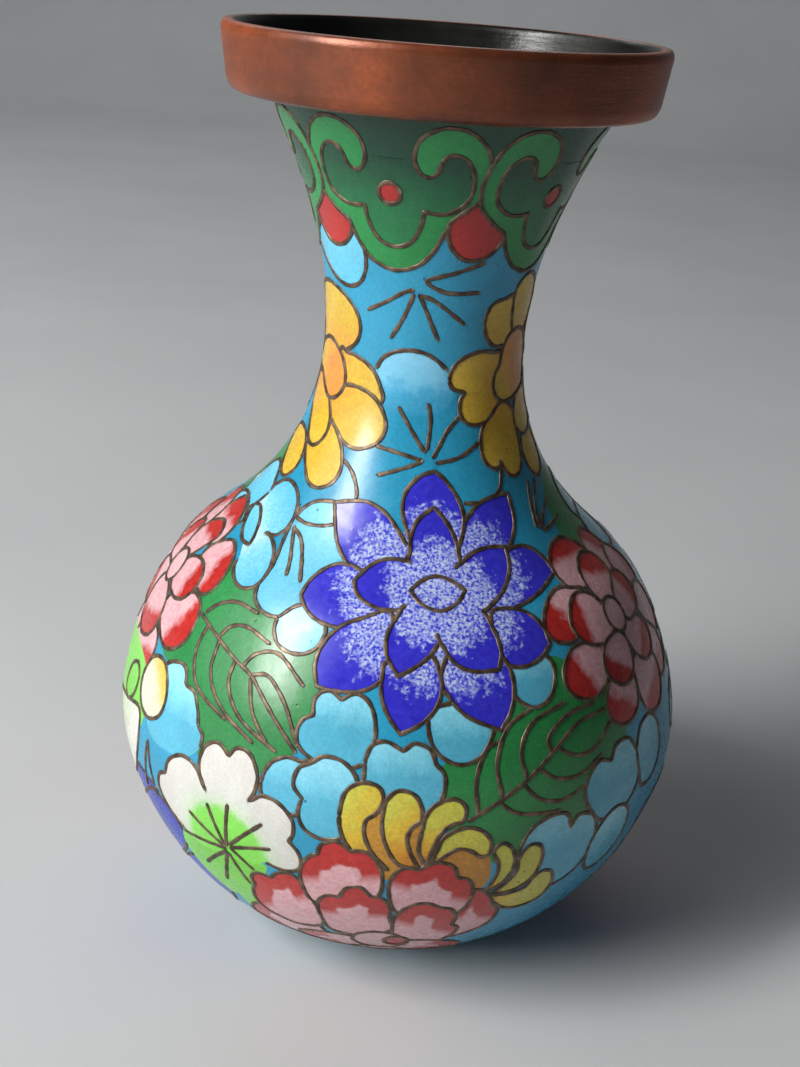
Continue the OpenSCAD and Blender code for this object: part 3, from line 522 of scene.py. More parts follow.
# ---- lower left: blue side flower, lime and white flower at the edge
BW, BP = "blue_flower_wires", "blue_flower_petals"
for turn in (0, 142):
    for pts in ([(-80, 29), (-70, 31), (-60, 30.6), (-52, 29.8), (-56, 27), (-66, 24), (-80, 22)],
                [(-80, 21.5), (-70, 23.5), (-62, 26.5), (-55, 29.2), (-49.5, 29), (-46, 27.3), (-45.4, 25),
                 (-49, 22), (-56, 18.8), (-66, 15.6), (-78, 13.6), (-84, 17)],
                [(-66, 14.5), (-59, 16.8), (-51, 20.2), (-44, 22.8), (-40.5, 22.6), (-37.6, 20.6),
                 (-37.8, 17.5), (-41.5, 14), (-48, 10.8), (-57, 8.4), (-66, 8.6), (-70, 11.4)]):
        out = smooth(moved(pts, turn))
        cell(BP, "blue", out, BW, (-84 + turn, 17), tuple(out[np.argmax(out[:, 0])]))
WW, WP, WC = "white_flower_wires", "white_flower_petals", "white_flower_centres"
cell(WP, "lime", smooth([(-58, 38), (-60, 41), (-66, 42.6), (-76, 43), (-90, 42), (-98, 38), (-94, 30),
     (-80, 27), (-68, 30), (-61, 34)]))
cell(WP, "edge_white", smooth([(-60.8, 37.5), (-59.7, 34.5), (-61.4, 31.5), (-65, 28.6), (-71, 26.6),
     (-80, 25.6), (-90, 26.5), (-92, 32), (-80, 35), (-68, 36.8)]), WW, (-84, 36), (-61, 31))
cell(WP, "lime", smooth([(-72.4, 37.6), (-71, 40.2), (-67.4, 41.3), (-64.6, 40.3), (-65.4, 38),
                         (-69.4, 36.5)]), WW)
cell(WP, "white_yellow", smooth([(-62.8, 41.4), (-61, 43.6), (-57.6, 44.4), (-54, 43.8), (-51.4, 41.4),
     (-52.2, 39), (-56, 37.7), (-59.6, 38), (-62, 39.4)]), WW, (-61, 38.5), (-52, 43.6))
line(WW, [(-57.4, 29), (-56.2, 32.4), (-55, 35.2), (-54, 32.2), (-52.6, 29)])

# ---- white flower with a lime heart
white_petals = [
    [(-44.5, 27.2, 1), (-46.4, 24.5), (-45, 21.4), (-41.5, 19), (-37.4, 17.8), (-34.8, 18.6, 1), (-32, 25),
     (-36, 28)],
    [(-34.8, 18.6, 1), (-33.6, 16.2), (-30, 15.2), (-27, 16.6), (-25.5, 20), (-24.4, 23.4),
     (-22.8, 27.4, 1), (-28, 28.4), (-31, 27)],
    [(-36.3, 34.4, 1), (-39, 36.3), (-43, 36.7), (-46.8, 35.3), (-48, 33.4, 1), (-50.2, 32.6),
     (-50.8, 30.8), (-48.6, 28.9), (-46, 27.8), (-44, 27.1, 1), (-38, 26), (-32, 28)],
    [(-26, 35.3, 1), (-23.4, 36.3), (-20, 36), (-17.3, 34.6), (-17, 33), (-17.8, 32, 1), (-16, 30.8),
     (-15.5, 29.2), (-17, 28), (-20, 27.7), (-22.8, 28, 1), (-28, 26.5), (-33, 28)],
    [(-36, 34.3, 1), (-38.2, 36.5), (-37.6, 38.9), (-34.6, 40), (-31.6, 39.2, 1), (-30, 40.3), (-27, 40.1),
     (-24.9, 38.2), (-25.2, 36.3), (-26.3, 35.2, 1), (-28, 30), (-34, 29)]]
spokes = [((-31.8, 28.2), (-31.3, 31), (-30.7, 33.9)), ((-32.2, 28.2), (-34, 30.6), (-35.7, 32.9)),
          ((-32.2, 28), (-37, 29.3), (-40.9, 30.5)), ((-32, 27.8), (-38, 27.2), (-44.4, 26.7)),
          ((-32.2, 27.4), (-36.4, 25.2), (-40.2, 23)), ((-32, 27.4), (-33.6, 24.4), (-35.5, 21.5)),
          ((-31.6, 27.2), (-29.9, 25), (-28.2, 23)), ((-31, 28.2), (-28.4, 27.1), (-26, 26)),
          ((-31, 28.2), (-26, 29.4), (-21.6, 30.2)), ((-31, 28.6), (-27, 31), (-23.2, 33.1))]
for turn, lift in ((0, 0), (146, 16)):
    mid = (-32 + turn, 28 + lift)
    cell(WC, "lime", disc(mid, 3.4), None, mid, (mid[0], mid[1] + 12), radial=True)
    crown = (mid[0], mid[1] + 12)
    for i, pts in enumerate(white_petals):
        out = smooth(moved(pts, turn, lift))
        if i < 2:
            cell(WC, "lime", out, None, mid, crown, radial=True)
        else:
            cell(WP, "white_lime", out, None, mid, crown, radial=True)
            line(WW, moved(pts[:-2], turn, lift))
    for pts in spokes:
        line(WW, moved(pts, turn, lift))

# ---- yellow quill flower
QF, QQ = "quill_flower_wires", "quill_flower_petals"
quills = [
    [(-6, 32), (-3.5, 36), (-1, 37.5), (4.5, 36), (8, 36), (12, 34.4), (18, 33), (20, 29), (17, 26.6),
     (10, 29), (0, 29)],
    [(-8.7, 36.4), (-7.9, 38.8), (-5, 39.9), (-2, 39.6), (-1.1, 38.3), (-2.2, 36.9), (-3.9, 36), (-4, 34.4),
     (-2.4, 32.4), (0.6, 30.4, 1), (-3, 30.8), (-6.2, 32.4), (-8.2, 34.4)],
    [(-1, 36.5), (-0.6, 38.3), (1.5, 39.4), (4.3, 39.1), (5.8, 37.8), (5.8, 36.4), (4.3, 35.6), (3.6, 34.3),
     (4.4, 32.6), (6.2, 30.7, 1), (2.4, 31.2), (0.2, 33.1), (-0.9, 35)],
    [(6.2, 35.6), (7, 37.3), (9.3, 38.4), (12, 38.6), (13.8, 37.7), (13.4, 36.3), (11.4, 35.9), (9.6, 35),
     (8.3, 33.2), (7.4, 31, 1), (5.8, 33)],
    [(9, 32.8), (10.2, 34.5), (13.5, 35.5), (16.6, 35.2), (18.8, 34), (19, 32.5), (17.4, 31.9),
     (15.6, 32.7), (13, 33.1), (10.4, 32.2), (8, 30.8, 1)],
    [(19.8, 32.4), (21.6, 33.3), (23.8, 32), (24.4, 29.8), (22.8, 27.7), (19.4, 26.3, 1), (21, 28.4),
     (21.3, 30.4)],
    [(25.2, 30.8), (26.8, 32.4), (29.4, 32.1), (30.4, 30.1), (29.4, 27.6), (26, 26.1), (21.2, 26, 1),
     (24.2, 27.8), (25.4, 29.4)],
    [(29.6, 27.2), (31.4, 28.2), (34, 27.6), (35.3, 25.4), (34.2, 23.1), (30, 22.3), (25.2, 23),
     (20.2, 25.9, 1), (25, 25.6), (28.6, 26)]]
for turn in (0, 120, 240):
    for i, pts in enumerate(quills):
        out = smooth(moved(pts, turn))
        cell(QQ, "ochre" if i == 0 else "quill", out, QF if i else None, (9 + turn, 30), tuple(out[0]))

# ---- peony: lobed petals, red rims over pink
OW, OP = "peony_wires", "peony_petals"
peony = [
    [(16.4, 27.2, 1), (19, 27), (21.4, 25.6), (22.8, 23.9, 1), (24.6, 22.4), (24.4, 20.2), (22, 18.4),
     (16, 17), (13, 22)],
    [(-33.5, 14), (-32, 17), (-28.5, 18.8), (-25.5, 18.8, 1), (-23.5, 20), (-20, 20.2), (-16, 19.4),
     (-13, 16), (-16, 11), (-26, 10)],
    [(-28.6, 19.5), (-28.2, 21.8), (-27, 23.4, 1), (-27.2, 24.7), (-25.3, 25.8), (-22.4, 25.8, 1),
     (-20.7, 26.9), (-18.2, 27.4), (-16, 26.6), (-14.4, 24.4), (-12.5, 21), (-13.4, 18), (-20, 16.5),
     (-26, 17.5)],
    [(-15.8, 26.8), (-15.5, 29.2), (-13.6, 30.8), (-12.4, 31.1, 1), (-11.6, 32.5), (-8.8, 33.2),
     (-6.2, 32.3, 1), (-3.6, 32.4), (-1.3, 31.2), (-0.2, 29), (-0.6, 26.4), (-3, 24), (-9, 23),
     (-14, 23.6)],
    [(1.3, 26.3), (1.2, 28.8), (3.2, 30.6), (6.4, 30.6, 1), (9, 31.5), (12.4, 31), (13.7, 29.3, 1),
     (16, 28.8), (17.3, 26.8), (16.6, 24), (13, 22), (7, 22.4), (2.8, 23.6)],
    [(-12.7, 20.6), (-13, 23.3), (-11, 25.1), (-8.3, 25.3, 1), (-7, 26.9), (-4.2, 27.4), (-2.2, 26.1, 1),
     (0.2, 25.8), (1.7, 24.3), (1.8, 22), (2.6, 19.5), (-3, 17), (-11, 17.4)],
    [(2.6, 21.4), (4, 23.8), (6.5, 25.1), (9.3, 25.2), (11.6, 24.4, 1), (14, 24), (15.5, 22.2),
     (15.4, 20.5, 1), (17, 19.6), (16.6, 17.4), (12, 15), (4, 16)]]
for turn in (0, 120, 240):
    mid = (0 + turn, 15.5)
    for i, pts in enumerate(peony):
        out = smooth(moved(pts, turn))
        cell(OP, "peony", out, OW, *from_within(mid, out))
    for way, reach in ((250, 8), (290, 8), (205, 9.6), (335, 9.6)):
        ends = place(mid, turned([[1.5, 0], [reach, 0]], way))
        cell(OP, "peony", petal(mid, way, 1.5, reach, 5.8), OW, tuple(ends[0]), tuple(ends[1]))
    cell("peony_centres", "pink_plain", disc(mid, 2.9, 3.0), OW, mid, (turn, 19))
    cell("peony_centres", "red", disc((4 + turn, 15.8), 1.3, 1.6), OW)

# ---- low on the body: a ring of lobes down to the foot
for k in range(12):
    az = 30 * k + 10
    cell(KC, "cloud", petal((az, 1.0), 90, 0.4, 6.4, 6.4), KW, (az, 1), (az, 7.5))

# ------------------------------------------------------------- build meshes
MESH_STEP = 0.42  # mm between the points of the enamel's mesh
SEAM_POINTS = 220


def inside(poly, p):
    """Which points p lie inside the closed outline poly, by crossing count."""
    hit = np.zeros(len(p), bool)
    lo, hi = poly.min(0), poly.max(0)
    near = ((p >= lo) & (p <= hi)).all(1).nonzero()[0]
    if not len(near):
        return hit
    q, a, b = p[near], poly, np.roll(poly, -1, axis=0)
    up = (a[None, :, 1] > q[:, None, 1]) != (b[None, :, 1] > q[:, None, 1])
    with np.errstate(divide="ignore", invalid="ignore"):
        x = a[:, 0] + (q[:, None, 1] - a[:, 1]) / (b[:, 1] - a[:, 1]) * (b[:, 0] - a[:, 0])
    hit[near] = (up & (q[:, None, 0] < x)).sum(1) % 2 == 1
    return hit


def copies(poly):
    """The outline, and its copy one turn away where it crosses the seam at 180 degrees."""
    shifts = [t for t in (-360, 0, 360) if poly[:, 0].max() + t > -181 and poly[:, 0].min() + t < 181]
    return [poly + [t, 0] for t in shifts]


plane_pts, plane_faces, owner = [], [], []
for i, c in enumerate(CELLS):
    for poly in copies(c["line"]):
        start = len(plane_pts)
        plane_pts += [Vector(p) for p in poly]
        plane_faces.append(list(range(start, start + len(poly))))
        owner.append(i)
seam = len(plane_pts)
plane_pts += [Vector((x, s)) for x in (-180, 180) for s in np.linspace(0, S_TOP, SEAM_POINTS)]
seam_edges = [(seam + k + SEAM_POINTS * j, seam + k + 1 + SEAM_POINTS * j)
              for j in (0, 1) for k in range(SEAM_POINTS - 1)]
row, s = 0, MESH_STEP * 0.6
while s < S_TOP:
    n = int(2 * math.pi * float(radius(s)) / MESH_STEP)
    plane_pts += [Vector((-180 + 360 * (k + 0.25 + 0.5 * (row % 2)) / n, s)) for k in range(n)]
    s += MESH_STEP * 0.87
    row += 1
verts2, _, tris, _, _, tri_owner = delaunay_2d_cdt(plane_pts, seam_edges, plane_faces, 0, 1e-5)
flat = np.array([v[:] for v in verts2])
by_cell = {}
for f, own in zip(tris, tri_owner):
    if not own:
        continue
    c = flat[list(f)].mean(0)
    if abs(c[0]) > 180:
        continue
    by_cell.setdefault(max(owner[o] for o in own), []).append(f)

WIRE = 0.42  # mm, as wide as the wires of the CAD


def covered(p, order):
    """Which points p of a wire lie under a cell that was laid after it."""
    hidden = np.zeros(len(p), bool)
    for later in range(order + 1, len(CELLS)):
        for poly in copies(CELLS[later]["line"]):
            for shift in (-360, 0, 360):
                q = p + [shift, 0]
                if q[:, 0].max() < poly[:, 0].min() or q[:, 0].min() > poly[:, 0].max():
                    continue
                hidden |= inside(poly, q)
    return hidden


# wires: keep the stretches that no later cell covers
runs = {}
samples = []
for node, pts, order in LINES:
    mm = to_mm((0, 0), pts)
    steps = np.concatenate([[0], np.cumsum(np.hypot(*np.diff(mm, axis=0).T))])
    count = max(3, int(steps[-1] / 0.22))
    t = np.linspace(0, steps[-1], count)
    p = np.stack([np.interp(t, steps, pts[:, k]) for k in (0, 1)], 1)
    hidden = covered(p, order)
    start = None
    for k in range(len(p) + 1):
        if k < len(p) and not hidden[k]:
            start = k if start is None else start
        elif start is not None:
            if k - start > 2:
                runs.setdefault(node, []).append(p[start:k])
                samples.append(p[start:k])
            start = None
wire_tree_pts = on_skin(np.vstack(samples))
tree = KDTree(len(wire_tree_pts))
for i, p in enumerate(wire_tree_pts):
    tree.insert(p, i)
tree.balance()


def new_object(name, verts, faces, mats, mat_index=None, normals=None, attrs=None):
    mesh = bpy.data.meshes.new(name)
    mesh.from_pydata([tuple(v) for v in verts], [], [tuple(f) for f in faces])
    for m in mats:
        mesh.materials.append(m)
    if mat_index is not None:
        mesh.polygons.foreach_set("material_index", np.asarray(mat_index, np.int32))
    mesh.polygons.foreach_set("use_smooth", np.ones(len(mesh.polygons), bool))
    for key, vals in (attrs or {}).items():
        a = mesh.attributes.new(key, "FLOAT", "POINT")
        a.data.foreach_set("value", np.asarray(vals, np.float32))
    mesh.update()
    if normals is not None:
        mesh.normals_split_custom_set_from_vertices([tuple(n) for n in normals])
    o = bpy.data.objects.new(name, mesh)
    bpy.context.scene.collection.objects.link(o)
    return o


def wire_mesh(lines):
    """Flat wires whose tops are the skin itself, with eased shoulders and closed ends."""
    section = [(-0.5, 0.25), (-0.5, 0.02), (-0.3, 0.0), (0.3, 0.0), (0.5, 0.02), (0.5, 0.25)]
    verts, faces = [], []
    for p in lines:
        mm = to_mm((p[:, 0].mean(), 0), p)
        d = np.gradient(mm, axis=0)
        d /= np.maximum(1e-9, np.linalg.norm(d, axis=1))[:, None]
        side = np.stack([-d[:, 1], d[:, 0]], 1)
        n = len(p)
        wob = 1 + 0.10 * np.sin(np.arange(n) * 0.9 + len(verts)) + 0.06 * np.sin(np.arange(n) * 0.37)
        wob[0] = wob[-1] = 0.55
        base = len(verts)
        for off, depth in section:
            q = mm + side * (off * WIRE * wob)[:, None]
            az = p[:, 0].mean() + q[:, 0] / np.maximum(6, radius(q[:, 1])) * DEG
            at = np.stack([az, np.clip(q[:, 1], 0, S_TOP)], 1)
            verts += list(on_skin(at, depth))
        m = len(section)
        for k in range(m - 1):
            for i in range(n - 1):
                a = base + k * n + i
                faces.append((a, a + n, a + n + 1, a + 1))
        faces.append(tuple(base + k * n for k in range(m)))
        faces.append(tuple(base + k * n + n - 1 for k in reversed(range(m))))
    return verts, faces


# ---------------------------------------------------------------- materials
def rgb(r, g, b):
    """sRGB 0-255 to the linear colour that a shader takes."""
    def lin(c):
        c /= 255
        return c / 12.92 if c <= 0.04045 else ((c + 0.055) / 1.055) ** 2.4
    return lin(r), lin(g), lin(b), 1.0


class Graph:
    """A material's node tree, with short calls for the nodes used here."""

    def __init__(self, name):
        self.mat = bpy.data.materials.new(name)
        self.mat.use_nodes = True
        self.tree = self.mat.node_tree
        self.tree.nodes.clear()
        self.coord = self.node("ShaderNodeTexCoord").outputs["Object"]

    def node(self, kind, inputs=None, **props):
        n = self.tree.nodes.new(kind)
        for key, val in props.items():
            setattr(n, key, val)
        for key, val in (inputs or {}).items():
            if hasattr(val, "is_linked"):
                self.tree.links.new(val, n.inputs[key])
            else:
                n.inputs[key].default_value = val
        return n

    def noise(self, scale, detail=2.0, stretch=None):
        at = self.coord
        if stretch:
            at = self.node("ShaderNodeMapping", {"Vector": at, "Scale": stretch}).outputs[0]
        inputs = {"Vector": at, "Scale": scale, "Detail": detail, "Roughness": 0.55}
        return self.node("ShaderNodeTexNoise", inputs).outputs["Fac"]

    def attr(self, name):
        return self.node("ShaderNodeAttribute", attribute_name=name).outputs["Fac"]

    def math(self, op, a, b=0.0, c=0.0):
        return self.node("ShaderNodeMath", {0: a, 1: b, 2: c}, operation=op).outputs[0]

    def span(self, value, lo, hi, to_lo=0.0, to_hi=1.0):
        inputs = {"Value": value, "From Min": lo, "From Max": hi, "To Min": to_lo, "To Max": to_hi}
        return self.node("ShaderNodeMapRange", inputs, clamp=True).outputs[0]

    def ramp(self, fac, stops):
        n = self.node("ShaderNodeValToRGB", {"Fac": fac})
        while len(n.color_ramp.elements) < len(stops):
            n.color_ramp.elements.new(0.5)
        for e, (pos, col) in zip(n.color_ramp.elements, stops):
            e.position, e.color = pos, rgb(*col)
        return n.outputs["Color"]

    def mix(self, fac, a, b, how="MIX"):
        """A Mix node on colours takes them at inputs 6 and 7 and gives its colour at output 2."""
        n = self.node("ShaderNodeMix", {0: fac}, data_type="RGBA", blend_type=how, clamp_factor=True)
        for i, val in ((6, a), (7, b)):
            if hasattr(val, "is_linked"):
                self.tree.links.new(val, n.inputs[i])
            else:
                n.inputs[i].default_value = val
        return n.outputs[2]

    def bump(self, height, strength, distance):
        inputs = {"Height": height, "Strength": strength, "Distance": distance}
        return self.node("ShaderNodeBump", inputs).outputs[0]

    def surface(self, bump=None, **inputs):
        sockets = {key.replace("_", " "): val for key, val in inputs.items()}
        if bump:
            sockets["Normal"] = bump
        shader = self.node("ShaderNodeBsdfPrincipled", sockets)
        self.node("ShaderNodeOutputMaterial", {"Surface": shader.outputs[0]})
        return self.mat


# Each enamel: its colours from the root of the cell (0) to its tip (1), how ragged the change is,
# and the strength of its grain.
ENAMELS = {
    "turquoise": ([(0.0, (38, 140, 176)), (1.0, (46, 150, 186))], 0.3, 0.10),
    "pale_blue": ([(0.0, (88, 178, 208)), (0.6, (104, 188, 216)), (1.0, (118, 198, 224))], 0.3, 0.10),
    "pale_core": ([(0.0, (200, 226, 236)), (0.45, (122, 196, 226)), (1.0, (84, 176, 214))], 0.3, 0.14),
    "cloud": ([(0.0, (82, 170, 198)), (0.5, (116, 194, 216)), (1.0, (140, 208, 228))], 0.7, 0.10),
    # The disc colours that follow are pale enamel with a painted highlight, paler than the clouds.
    "white_disc": ([(0.0, (110, 190, 216)), (1.0, (176, 216, 230))], 0.2, 0.06),
    "half_disc": ([(0.0, (46, 146, 184)), (0.35, (72, 164, 202)), (0.6, (118, 192, 224)),
    (1.0, (130, 198, 226))], 0.5, 0.08), "leaf_green": ([(0.0, (38, 122, 62)), (1.0, (46, 134, 72))], 0.4,
    # The collar ground's colours that follow carry painted shade from the rim, darker towards the top.
    0.16), "collar_green": ([(0.0, (18, 76, 50)), (1.0, (14, 62, 44))], 0.4, 0.14),
    "band_green": ([(0.0, (34, 132, 66)), (1.0, (38, 136, 72))], 0.4, 0.14),
    # The fields' green that follows darkens towards the top as painted shade under the rim.
    "field_green": ([(0.0, (30, 118, 66)), (0.5, (26, 104, 62)), (0.95, (15, 68, 46))], 0.3, 0.14),
    "red": ([(0.0, (160, 36, 32)), (1.0, (176, 42, 38))], 0.4, 0.14),
    "yellow": ([(0.0, (208, 138, 62)), (0.3, (212, 158, 60)), (0.6, (206, 168, 54)), (1.0, (208, 176, 68))],
    0.9, 0.14), "white_yellow": ([(0.0, (206, 204, 190)), (0.5, (210, 206, 184)), (0.72, (212, 190, 96)),
    (1.0, (206, 172, 50))], 0.2, 0.08), "edge_white": ([(0.0, (140, 210, 96)), (0.5, (196, 212, 176)),
    (0.8, (212, 212, 204))], 0.2, 0.08), "quill": ([(0.0, (186, 98, 28)), (0.42, (202, 134, 36)),
    (0.78, (208, 176, 52)), (1.0, (196, 190, 72))], 0.45, 0.16),
    "ochre": ([(0.0, (178, 122, 42)), (1.0, (190, 138, 48))], 0.5, 0.2),
    "lime": ([(0.0, (108, 192, 58)), (1.0, (122, 202, 80))], 0.4, 0.12),
    "pink_plain": ([(0.0, (212, 166, 170)), (1.0, (220, 178, 180))], 0.3, 0.10),
    "white_lime": ([(0.0, (112, 204, 62)), (0.40, (128, 210, 84)), (0.48, (196, 208, 186)),
                    (0.6, (203, 204, 197)), (1.0, (207, 203, 197))], 0.10, 0.07),
                    "blue": ([(0.0, (24, 90, 160)), (0.5, (16, 58, 168)), (1.0, (14, 40, 160))], 0.3, 0.12)}


def glaze(g, colour, grain, rough=0.20):
    """What all the fired and polished enamels share: grains, clouding, pits, tarnish along the wires."""
    fine = g.span(g.noise(3400, 1.5), 0.3, 0.7, 1 - grain, 1 + grain)
    cloud = g.span(g.noise(210, 3), 0.3, 0.7, 0.93, 1.07)
    shade = g.math("MULTIPLY", fine, cloud)
    tarnish = g.span(g.attr("e"), WIRE / 2 - 0.035, WIRE / 2 + 0.155, 0.72, 1.0)
    shade = g.math("MULTIPLY", shade, tarnish)
    pits = g.node("ShaderNodeTexVoronoi", {"Vector": g.coord, "Scale": 620.0, "Randomness": 1.0})
    rare = g.math("GREATER_THAN", pits.outputs["Color"], 0.80)
    hole = g.math("MULTIPLY", g.span(pits.outputs["Distance"], 0.075, 0.12, 1.0, 0.0), rare)
    shade = g.math("MULTIPLY", shade, g.span(hole, 0.0, 1.0, 1.0, 0.42))
    grey = g.node("ShaderNodeCombineColor", {"Red": shade, "Green": shade, "Blue": shade}).outputs[0]
    colour = g.mix(1.0, colour, grey, "MULTIPLY")
    height = g.math("MULTIPLY_ADD", g.noise(330, 2), 0.30, g.math("MULTIPLY", g.noise(1500, 1), 0.035))
    height = g.math("SUBTRACT", height, g.math("MULTIPLY", hole, 0.25))
    bump = g.bump(height, 0.30, 0.0004)
    roughness = g.span(g.noise(700, 2), 0.25, 0.75, rough, rough + 0.12)
    return g.surface(bump, Base_Color=colour, Roughness=roughness, IOR=1.52)


def enamel(name):
    stops, ragged, grain = ENAMELS[name]
    g = Graph(name + "_enamel")
    t = g.math("MULTIPLY_ADD", g.math("SUBTRACT", g.noise(900, 3), 0.5), ragged, g.attr("t"))
    return glaze(g, g.ramp(t, stops), grain)


def lotus(name, tip_from):
    """Ultramarine tips that break up into white and blue grains towards the root."""
    g = Graph(name)
    ragged = g.math("MULTIPLY_ADD", g.math("SUBTRACT", g.noise(1300, 3), 0.5), 0.55, g.attr("t"))
    ragged = g.math("ADD", ragged, g.span(g.attr("o"), 0.1, 0.9, 0.12, 0.0))
    tip = g.span(ragged, tip_from - 0.05, tip_from + 0.06)
    blues = [(0.36, (58, 56, 196)), (0.45, (112, 122, 214)), (0.53, (152, 164, 222)),
             (0.66, (198, 206, 230))]
    grains = g.ramp(g.noise(3300, 2.0), blues)
    deep = g.ramp(g.noise(1600, 2), [(0.3, (46, 42, 184)), (0.7, (58, 54, 196))])
    return glaze(g, g.mix(tip, grains, deep), 0.08, 0.15)


def rimmed(name, tip_from, soft, width=None):
    """Pink petals with a red crescent at the tip, or a red band of that width along the outer edge."""
    g = Graph(name)
    if width:
        o = g.math("MULTIPLY_ADD", g.math("SUBTRACT", g.noise(700, 3), 0.5), 0.9, g.attr("o"))
        red = g.math("MULTIPLY", g.span(o, width + soft, width - soft), g.span(g.attr("t"), 0.42, 0.56))
    else:
        t = g.math("MULTIPLY_ADD", g.math("SUBTRACT", g.noise(700, 3), 0.5), 0.30, g.attr("t"))
        red = g.span(t, tip_from - soft, tip_from + soft)
    pink = g.ramp(g.noise(1900, 2), [(0.3, (206, 150, 158)), (0.7, (222, 178, 182))])
    crimson = g.ramp(g.noise(1500, 2), [(0.3, (168, 34, 32)), (0.7, (186, 50, 44))])
    return glaze(g, g.mix(red, pink, crimson), 0.10)


def wire_metal():
    """Drawn wire ground flush: dull brown, brighter where it was polished."""
    g = Graph("wire_metal")
    colour = g.ramp(g.noise(900, 3), [(0.35, (66, 52, 42)), (0.55, (104, 86, 70)), (0.75, (138, 120, 100))])
    rough = g.span(g.noise(1400, 2), 0.3, 0.7, 0.34, 0.6)
    bump = g.bump(g.noise(2200, 2), 0.25, 0.0001)
    return g.surface(bump, Base_Color=colour, Metallic=0.55, Roughness=rough)


def patinated_copper(name="patinated_copper", dark=False):
    """Copper band gone brown, with orange and dark patches, fine lines round it and small spots."""
    g = Graph(name)
    patch = g.noise(62, 5)
    tone = g.math("MULTIPLY_ADD", g.noise(60, 4, (1, 1, 9)), 0.16, g.math("MULTIPLY", patch, 0.86))
    if dark:
        stops = [(0.38, (22, 22, 20)), (0.52, (40, 40, 36)), (0.66, (70, 68, 62))]
    else:
        stops = [(0.36, (80, 44, 28)), (0.45, (108, 56, 34)), (0.54, (130, 66, 37)), (0.66, (162, 80, 42))]
    colour = g.ramp(tone, stops)
    grain = g.span(g.noise(1900, 2), 0.3, 0.7, 0.0, 0.35)
    colour = g.mix(grain, colour, rgb(*stops[0][1]))
    # Lighter at the band's sharp edges: rubbed copper and a painted highlight along the rim's top edge.
    if not dark:
        edge = g.node("ShaderNodeNewGeometry").outputs["Pointiness"]
        colour = g.mix(g.span(edge, 0.53, 0.60, 0.0, 0.5), colour, rgb(176, 128, 98))
    rough = g.span(patch, 0.3, 0.7, 0.24, 0.40)
    spots = g.math("MULTIPLY", g.noise(1500, 2), 0.3)
    scratch = g.math("MULTIPLY_ADD", g.noise(420, 3, (1, 1, 9)), 0.5, spots)
    bump = g.bump(scratch, 0.2, 0.0003)
    return g.surface(bump, Base_Color=colour, Metallic=0.35, Roughness=rough)


def counter_glaze(name, thin, middle, thick, speck):
    """The unpolished enamel inside the vase and under its base, with runs, drips and dark specks."""
    g = Graph(name)
    colour = g.ramp(g.noise(190, 4, (1, 1, 0.35)), [(0.3, thin), (0.5, middle), (0.72, thick)])
    specks = g.span(g.noise(1700, 2), 0.60, 0.70, 0.0, 0.6)
    colour = g.mix(specks, colour, rgb(*speck))
    bump = g.bump(g.noise(520, 3), 0.4, 0.0004)
    return g.surface(bump, Base_Color=colour, Roughness=g.span(g.noise(400), 0.3, 0.7, 0.22, 0.4))


def bare_copper():
    g = Graph("copper")
    colour = g.ramp(g.noise(240, 4), [(0.35, (120, 62, 42)), (0.65, (176, 104, 74))])
    bump = g.bump(g.noise(900, 3), 0.3, 0.0002)
    rough = g.span(g.noise(500), 0.3, 0.7, 0.3, 0.5)
    return g.surface(bump, Base_Color=colour, Metallic=0.9, Roughness=rough)


MATS = {name: enamel(name) for name in ENAMELS}
MATS["lotus"] = lotus("speckled_blue_enamel", 0.67)
MATS["lotus_inner"] = lotus("inner_speckled_blue_enamel", 0.60)
MATS["lotus_eye"] = lotus("eye_blue_enamel", 1.6)
MATS["pink"] = rimmed("pink_enamel", 0.60, 0.07)
MATS["peony"] = rimmed("peony_enamel", None, 0.16, width=2.2)
WIRE_METAL, COPPER = wire_metal(), patinated_copper()
INSIDE = counter_glaze("grey_green_enamel", (46, 58, 54), (74, 90, 84), (112, 128, 120), (34, 40, 38))
BASE = counter_glaze("base_turquoise_enamel", (36, 122, 156), (46, 146, 180), (66, 164, 196), (28, 70, 88))
DARK_COPPER = patinated_copper("oxidised_copper", dark=True)

# ------------------------------------------------------------------- pieces
def beside(mid, p):
    """The points p, on the turn of the azimuth that lies nearest to mid."""
    q = p.copy()
    q[:, 0] = mid[0] + (p[:, 0] - mid[0] + 180) % 360 - 180
    return q


def along_cell(c, p):
    """How far each point lies along its cell, 0 at the root and 1 at the crown."""
    root, crown = np.array(c["root"], float), np.array(c["crown"], float)
    way = to_mm(root, crown[None])[0]
    length = np.linalg.norm(way)
    local = to_mm(root, beside(root, p))
    if c["radial"]:
        return np.linalg.norm(local, axis=1) / length
    return local @ way / length ** 2


def from_outline(c, p):
    """How far each point lies in from the outline of its cell, in mm."""
    mid = c["line"].mean(0)
    edge, at = to_mm(mid, c["line"]), to_mm(mid, beside(mid, p))
    side = np.roll(edge, -1, axis=0) - edge
    share = ((at[:, None] - edge) * side).sum(2) / np.maximum(1e-9, (side * side).sum(1))
    near = edge + side * np.clip(share, 0, 1)[..., None]
    return np.linalg.norm(at[:, None] - near, axis=2).min(1)


FAR_IN = 9.0  # mm, given to the ground coats, whose own outlines show no rim


